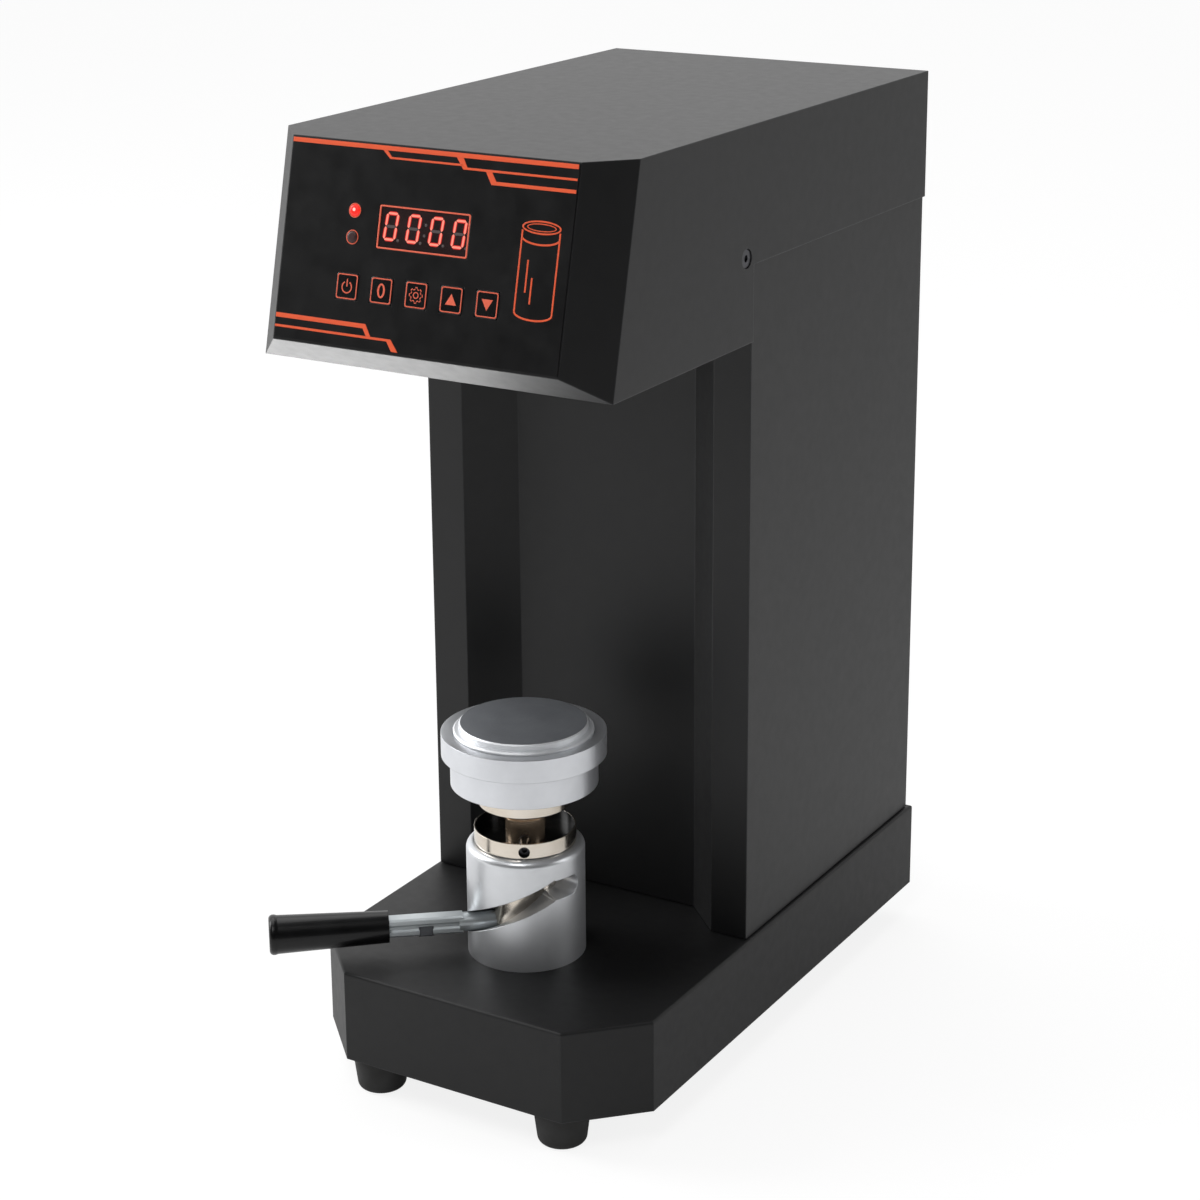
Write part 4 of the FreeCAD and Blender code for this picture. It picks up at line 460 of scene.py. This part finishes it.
def printed(name, outlines, finish, low=FILM_TOP, thickness=INK):
    """A piece of flat prints on the control face."""
    bm = bmesh.new()
    for outline in outlines:
        add_prism(bm, outline, low, low + thickness)
    finish_piece(name, bm, "machine", finish)


def can_outline():
    """A plain upright can in outline: its rims, sides, bottom, neck and two strokes of shine."""
    bm = bmesh.new()
    top = FILM_TOP + INK

    def rim(across, down):
        return ellipse(CAN_U, CAN_TOP, CAN_HALF - across, CAN_RIM - down)

    add_band(bm, rim(0, 0), rim(0.9, 0.8), FILM_TOP, top)
    add_band(bm, rim(2.6, 1.3), rim(3.2, 1.8), FILM_TOP, top)
    side = CAN_HALF - CAN_LINE / 2
    for line in (
        [(CAN_U - side, CAN_TOP + 1.6), (CAN_U - side, CAN_BOTTOM)],
        [(CAN_U + side, CAN_TOP + 1.6), (CAN_U + side, CAN_BOTTOM)],
        ellipse(CAN_U, CAN_BOTTOM, side, CAN_RIM, 20, 0, 180),
        ellipse(CAN_U, CAN_TOP + 4.6, side, CAN_RIM, 20, 12, 168),
        [(CAN_U - 5.4, 46), (CAN_U - 5.4, 61)],
        [(CAN_U - 2.4, 54), (CAN_U - 2.4, 66)],
    ):
        add_prism(bm, stroke(line, CAN_LINE), FILM_TOP, top)
    finish_piece("panel_can_outline", bm, "machine", ORANGE)


def display_frame():
    """The printed frame round the display window."""
    place = ((WIN_LEFT + WIN_RIGHT) / 2, (WIN_TOP + WIN_BOTTOM) / 2)
    width, height = WIN_RIGHT - WIN_LEFT, WIN_BOTTOM - WIN_TOP
    bm = bmesh.new()
    add_band(bm, rounded_box(*place, width, height, WIN_CORNER),
             rounded_box(*place, width - 2 * WIN_LINE, height - 2 * WIN_LINE, WIN_INNER_CORNER),
             0.0, FILM_TOP + WIN_OVER)
    finish_piece("display_frame", bm, "machine", SALMON)


def segment(start, end, width):
    """A six-sided bar from start to end."""
    a, b = Vector(start), Vector(end)
    side, along = side_of(a, b, width)
    tip = along * (width / 2)
    corners = (a, a + tip + side, b - tip + side, b, b - tip - side, a + tip - side)
    return [tuple(corner) for corner in corners]


def lean_over(points, left):
    """Lean a digit's points to the right towards its top."""
    return [(left + u + (DIGIT_H - v) * SLANT, DIGIT_TOP + v) for u, v in points]


def digit_bars(left, width):
    """The six outer bars of a digit, and its middle bar."""
    inset, gap = BAR / 2, BAR_GAP
    x0, x1 = inset, DIGIT_W - inset
    y0, y1, y2 = inset, DIGIT_H / 2, DIGIT_H - inset
    ring = [((x0 + gap, y0), (x1 - gap, y0)), ((x1, y0 + gap), (x1, y1 - gap)),
            ((x1, y1 + gap), (x1, y2 - gap)), ((x1 - gap, y2), (x0 + gap, y2)),
            ((x0, y2 - gap), (x0, y1 + gap)), ((x0, y1 - gap), (x0, y0 + gap))]
    middle = segment((x0 + gap, y1), (x1 - gap, y1), width)
    return [lean_over(segment(a, b, width), left) for a, b in ring], lean_over(middle, left)


def digits():
    """Four noughts with their halos, and the bars and points that stay dark."""
    halos, lit, unlit = [], [], []
    for left in DIGIT_LEFTS:
        halos += digit_bars(left, BAR + HALO_MORE)[0]
        lit += digit_bars(left, BAR - LIT_LESS)[0]
        unlit.append(digit_bars(left, BAR)[1])
        unlit.append(ellipse(left + DIGIT_W + 1.5, DIGIT_TOP + DIGIT_H - 0.6, POINT, POINT, 16))
    colon_u = (WIN_LEFT + WIN_RIGHT) / 2 + 0.2
    for v in COLON_DOWN:
        unlit.append(ellipse(colon_u + (DIGIT_H - v) * SLANT, DIGIT_TOP + v, POINT, POINT, 16))
    printed("digit_halos", halos, HALO, low=0.0, thickness=0.03)
    printed("digit_segments", lit, LIT, low=0.02, thickness=0.03)
    printed("digit_unlit_segments", unlit, UNLIT, low=0.0, thickness=0.02)


def lamp_ring(name, v):
    """The printed ring round a lamp."""
    bm = bmesh.new()
    add_band(bm, ellipse(LAMP_U, v, LAMP_RIM, LAMP_RIM),
             ellipse(LAMP_U, v, LAMP_RADIUS, LAMP_RADIUS), FILM_TOP, FILM_TOP + INK)
    finish_piece(name, bm, "machine", SALMON)


def lamp_core():
    """The bright middle of the lit lamp's dome."""
    bm = bmesh.new()
    rows = []
    for k in range(CORE_RINGS):
        r = CORE_RADIUS * (CORE_RINGS - k) / CORE_RINGS
        rows.append(face_row(bm, ellipse(LAMP_U, CORE_V, r, r, CORE_STEPS),
                             CORE_TOP - CORE_FALL * (r / CORE_RADIUS) ** 2))
    join_rows(bm, rows)
    top = bm.verts.new(on_face(LAMP_U, CORE_V, CORE_TOP))
    for i in range(CORE_STEPS):
        bm.faces.new((rows[-1][i], rows[-1][(i + 1) % CORE_STEPS], top))
    bm.faces.new(rows[0][::-1])
    finish_piece("auto_glow", bm, "machine", LAMP_CORE, smooth=True)


def gear(u, v, teeth, outer, inner):
    """The outline of a gear wheel as a sign."""
    points = []
    for k in range(teeth):
        base = 360 / teeth * k
        for offset, radius in ((-13, inner), (-9, outer), (9, outer), (13, inner)):
            turn = math.radians(base + offset)
            points.append((u + radius * math.cos(turn), v + radius * math.sin(turn)))
    return points


def key_sign(name, u):
    """A key's rounded outline and the sign in it."""
    bm = bmesh.new()
    top, over = KEY_TOP, KEY_TOP + KEY_INK
    add_band(bm, rounded_box(u, KEY_V, KEY_WIDTH, KEY_HEIGHT, KEY_CORNER),
             rounded_box(u, KEY_V, KEY_WIDTH - 2 * KEY_LINE, KEY_HEIGHT - 2 * KEY_LINE,
                         KEY_INNER_CORNER), top, over)
    if name == "key_power":
        ring = ellipse(u, KEY_V + 0.3, 2.7, 2.7, 26, -60, 240)
        add_prism(bm, stroke(ring, SIGN_LINE), top, over)
        add_prism(bm, stroke([(u, KEY_V - 3.6), (u, KEY_V + 0.1)], SIGN_LINE), top, over)
    elif name == "key_reset":
        add_band(bm, ellipse(u, KEY_V, 2.2, 3.5), ellipse(u, KEY_V, 1.1, 2.6), top, over)
    elif name == "key_set":
        add_band(bm, gear(u, KEY_V, 8, 3.9, 3.1), gear(u, KEY_V, 8, 3.4, 2.6), top, over)
        add_band(bm, ellipse(u, KEY_V, 1.6, 1.6, 24), ellipse(u, KEY_V, 1.1, 1.1, 24), top, over)
    else:
        way = -1 if name == "key_up" else 1
        add_prism(bm, [(u - 3.1, KEY_V - way * 2.4), (u + 3.1, KEY_V - way * 2.4),
                       (u, KEY_V + way * 2.9)], top, over)
    finish_piece(name + "_sign", bm, name, SALMON)


# Thread of the lifter spindle between cup and nut, in millimetres
THREAD_LOW, THREAD_HIGH, THREAD_PITCH, THREAD_STEPS = 144.6, 152.4, 1.5, 48
SPINDLE_RADIUS, THREAD_DEPTH, THREAD_ROOT = 10.3, 0.75, 0.15
CREST_SHARE, ROOT_SHARE = 0.10, 0.46


def spindle_thread():
    """A round-nosed screw ridge as one closed strip with tapered ends."""
    bm = bmesh.new()
    turns = (THREAD_HIGH - THREAD_LOW) / THREAD_PITCH
    count = int(turns * THREAD_STEPS)
    taper = THREAD_STEPS / 4
    rows = []
    for k in range(count + 1):
        turn = 2 * math.pi * k / THREAD_STEPS
        z = THREAD_LOW + THREAD_PITCH * k / THREAD_STEPS
        crest = SPINDLE_RADIUS + THREAD_DEPTH * min(1.0, k / taper, (count - k) / taper)
        root = SPINDLE_RADIUS - THREAD_ROOT
        rows.append([bm.verts.new((AXIS[0] + r * MM * math.cos(turn),
                                   AXIS[1] + r * MM * math.sin(turn),
                                   (z + share * THREAD_PITCH) * MM))
                     for r, share in ((root, -ROOT_SHARE), (crest, -CREST_SHARE),
                                      (crest, CREST_SHARE), (root, ROOT_SHARE))])
    join_rows(bm, rows)
    bm.faces.new(rows[0])
    bm.faces.new(rows[-1][::-1])
    finish_piece("spindle_thread", bm, "lever", SPINDLE)


# Block in the lever's notch, in millimetres out along the lever, across it and above its line
LEVER_LEVEL, LEVER_TURN = 86.6, math.radians(219)
NOTCH_START, NOTCH_END, NOTCH_LOW, NOTCH_HIGH, NOTCH_HALF = 50.1, 56.9, -4.9, -0.5, 3.4
NOTCH_EDGE = 0.5


def along_lever(out, across, rise):
    """A point from millimetres out along the lever, across it and above its line."""
    return Vector((AXIS[0] + (out * math.cos(LEVER_TURN) - across * math.sin(LEVER_TURN)) * MM,
                   AXIS[1] + (out * math.sin(LEVER_TURN) + across * math.cos(LEVER_TURN)) * MM,
                   (LEVER_LEVEL + rise) * MM))


def lever_block():
    """The grey block in the lever's notch, with rounded edges."""
    bm = bmesh.new()
    bmesh.ops.create_cube(bm, size=1)
    for vertex in bm.verts:
        side = vertex.co
        vertex.co = along_lever(NOTCH_END if side.x > 0 else NOTCH_START,
                                NOTCH_HALF if side.y > 0 else -NOTCH_HALF,
                                NOTCH_HIGH if side.z > 0 else NOTCH_LOW)
    bmesh.ops.bevel(bm, geom=bm.edges[:], offset=NOTCH_EDGE * MM, segments=3, profile=0.5,
                    affect="EDGES")
    finish_piece("lever_block", bm, "lever", BLOCK)


printed("panel_lines", UPPER_LINES + LOWER_LINES, ORANGE)
can_outline()
display_frame()
digits()
for ring_name, ring_v in LAMP_V.items():
    lamp_ring(ring_name, ring_v)
lamp_core()
for key, key_u in KEY_U.items():
    key_sign(key, key_u)
spindle_thread()
lever_block()


# Floor, light and camera; a level of 1 is white on the screen

FLOOR_RADIUS, FLOOR_COLOR, FLOOR_GLOW, GLOW_SHARE = 7, (0.86, 0.86, 0.86, 1), 1.12, 0.76
CARD_COLOR, CARD_LEFT, CARD_RIGHT = (0.9, 0.9, 0.9, 1), 0.20, 0.10
CARD_START, CARD_END = -0.25, 0.35
FRONT_WAY, FRONT_START, FRONT_END = (0.70, -0.71, -0.05), -0.65, 0.25
SKY_LIGHT, SKY_BACK, SKY_FRONT = 0.24, 1.10, 0.03
MIDDLE = (0, 0, 0.22)


def stage_floor():
    """A white floor that keeps the object's shadow, with a pale card for what is polished."""
    bm = bmesh.new()
    bmesh.ops.create_circle(bm, cap_ends=True, segments=96, radius=FLOOR_RADIUS)
    mesh = bpy.data.meshes.new("floor")
    bm.to_mesh(mesh)
    bm.free()
    floor = bpy.data.objects.new("floor", mesh)
    bpy.context.scene.collection.objects.link(floor)
    material = bpy.data.materials.new("floor_white")
    material.use_nodes = True
    graph = Graph(material.node_tree)
    graph.nodes.clear()
    matt = graph.add("BsdfDiffuse", {"Color": FLOOR_COLOR}).outputs[0]
    glow = graph.add("Emission", {"Strength": FLOOR_GLOW}).outputs[0]
    share = graph.math("MULTIPLY", graph.seen_directly(), GLOW_SHARE)
    plain = graph.add("MixShader", {0: share, 1: matt, 2: glow}).outputs[0]
    # Polished surfaces see a reflector lying on the floor, brighter on the left
    spot = graph.add("TexCoord").outputs["Object"]
    across = graph.add("SeparateXYZ", {0: spot}).outputs["X"]
    level = graph.spread(across, CARD_LEFT, CARD_RIGHT, CARD_START, CARD_END, "SMOOTHSTEP")
    strength = graph.math("MULTIPLY", graph.seen_by_gloss(), level)
    card = graph.add("Emission", {"Color": CARD_COLOR, "Strength": strength}).outputs[0]
    surface = graph.add("AddShader", {0: plain, 1: card}).outputs[0]
    graph.add("OutputMaterial", {0: surface})
    mesh.materials.append(material)


def studio_world():
    """White for what the camera sees; polished surfaces see it too, darker in front."""
    world = bpy.data.worlds.new("studio")
    bpy.context.scene.world = world
    world.use_nodes = True
    graph = Graph(world.node_tree)
    graph.nodes.clear()

    def background(strength):
        return graph.add("Background", {"Color": WHITE, "Strength": strength}).outputs[0]

    way = graph.add("TexCoord").outputs["Generated"]
    front = graph.add("VectorMath", {0: way, 1: FRONT_WAY}, operation="DOT_PRODUCT")
    level = graph.spread(front.outputs["Value"], SKY_BACK, SKY_FRONT, FRONT_START, FRONT_END,
                         "SMOOTHSTEP")
    lighting = graph.add("MixShader", {0: graph.seen_by_gloss(), 1: background(SKY_LIGHT),
                                       2: background(level)}).outputs[0]
    sky = graph.add("MixShader", {0: graph.seen_directly(), 1: lighting, 2: background(1.0)})
    graph.add("OutputWorld", {0: sky.outputs[0]})


def soft_box(name, place, size, power, target=MIDDLE):
    """A square lamp, its sides in metres and its power in watts, that faces a target."""
    data = bpy.data.lights.new(name, "AREA")
    data.shape = "RECTANGLE"
    data.size, data.size_y = size
    data.energy = power
    lamp = bpy.data.objects.new(name, data)
    lamp.location = place
    lamp.rotation_mode = "QUATERNION"
    lamp.rotation_quaternion = (Vector(target) - Vector(place)).to_track_quat("-Z", "Y")
    bpy.context.scene.collection.objects.link(lamp)
    return lamp


def light_only(lamp, node):
    """Let a lamp light one node alone, as a small reflector close to it does."""
    receivers = bpy.data.collections.new(lamp.name + "_receivers")
    receivers.objects.link(NODES[node])
    lamp.light_linking.receiver_collection = receivers


def studio_lights():
    """Soft boxes on both sides and in front, a low reflector for the head, and soft top light."""
    soft_box("key_light", (-2.3, -0.7, 1.4), (1.0, 1.6), 38)
    soft_box("side_light", (2.2, 0.7, 1.0), (0.8, 1.4), 9)
    soft_box("front_light", (0.3, -1.6, 2.4), (1.0, 1.0), 16)
    reflector = soft_box("low_reflector", (-0.44, 0.04, 0.01), (0.4, 0.5), 2.9,
                         target=(-0.44, 0.04, 1))
    light_only(reflector, "head_hood")
    sky = bpy.data.lights.new("top_light", "SUN")
    sky.energy = 1.0
    sky.angle = math.radians(50)
    top_lamp = bpy.data.objects.new("top_light", sky)
    top_lamp.rotation_euler = (math.radians(-14), math.radians(-16), 0)
    bpy.context.scene.collection.objects.link(top_lamp)


# The camera fitted to the photograph; focus and image height in pixels of its square frame
IMAGE, FOCUS, PRINCIPAL_V = 1200, 2690.6, 480
CAMERA_PLACE = Vector((0.6999, -1.1887, 0.7173))
YAW, PITCH, ROLL = math.radians(30.9), math.radians(16.75), math.radians(-0.43)
SENSOR = 36


def photo_camera():
    """The camera where the photograph was taken from."""
    ahead = Vector((-math.sin(YAW) * math.cos(PITCH), math.cos(YAW) * math.cos(PITCH),
                    -math.sin(PITCH)))
    level = Vector((math.cos(YAW), math.sin(YAW), 0))
    upright = level.cross(ahead)
    right = level * math.cos(ROLL) + upright * math.sin(ROLL)
    up = upright * math.cos(ROLL) - level * math.sin(ROLL)
    data = bpy.data.cameras.new("photo_camera")
    data.sensor_width = SENSOR
    data.lens = FOCUS * SENSOR / IMAGE
    data.shift_y = (PRINCIPAL_V - IMAGE / 2) / IMAGE
    data.clip_start = 0.01
    data.clip_end = 50
    camera = bpy.data.objects.new("photo_camera", data)
    turn = Matrix((right, up, -ahead)).transposed().to_4x4()
    camera.matrix_world = Matrix.Translation(CAMERA_PLACE) @ turn
    bpy.context.scene.collection.objects.link(camera)
    bpy.context.scene.camera = camera


stage_floor()
studio_world()
studio_lights()
photo_camera()
bpy.context.scene.view_settings.view_transform = "Standard"
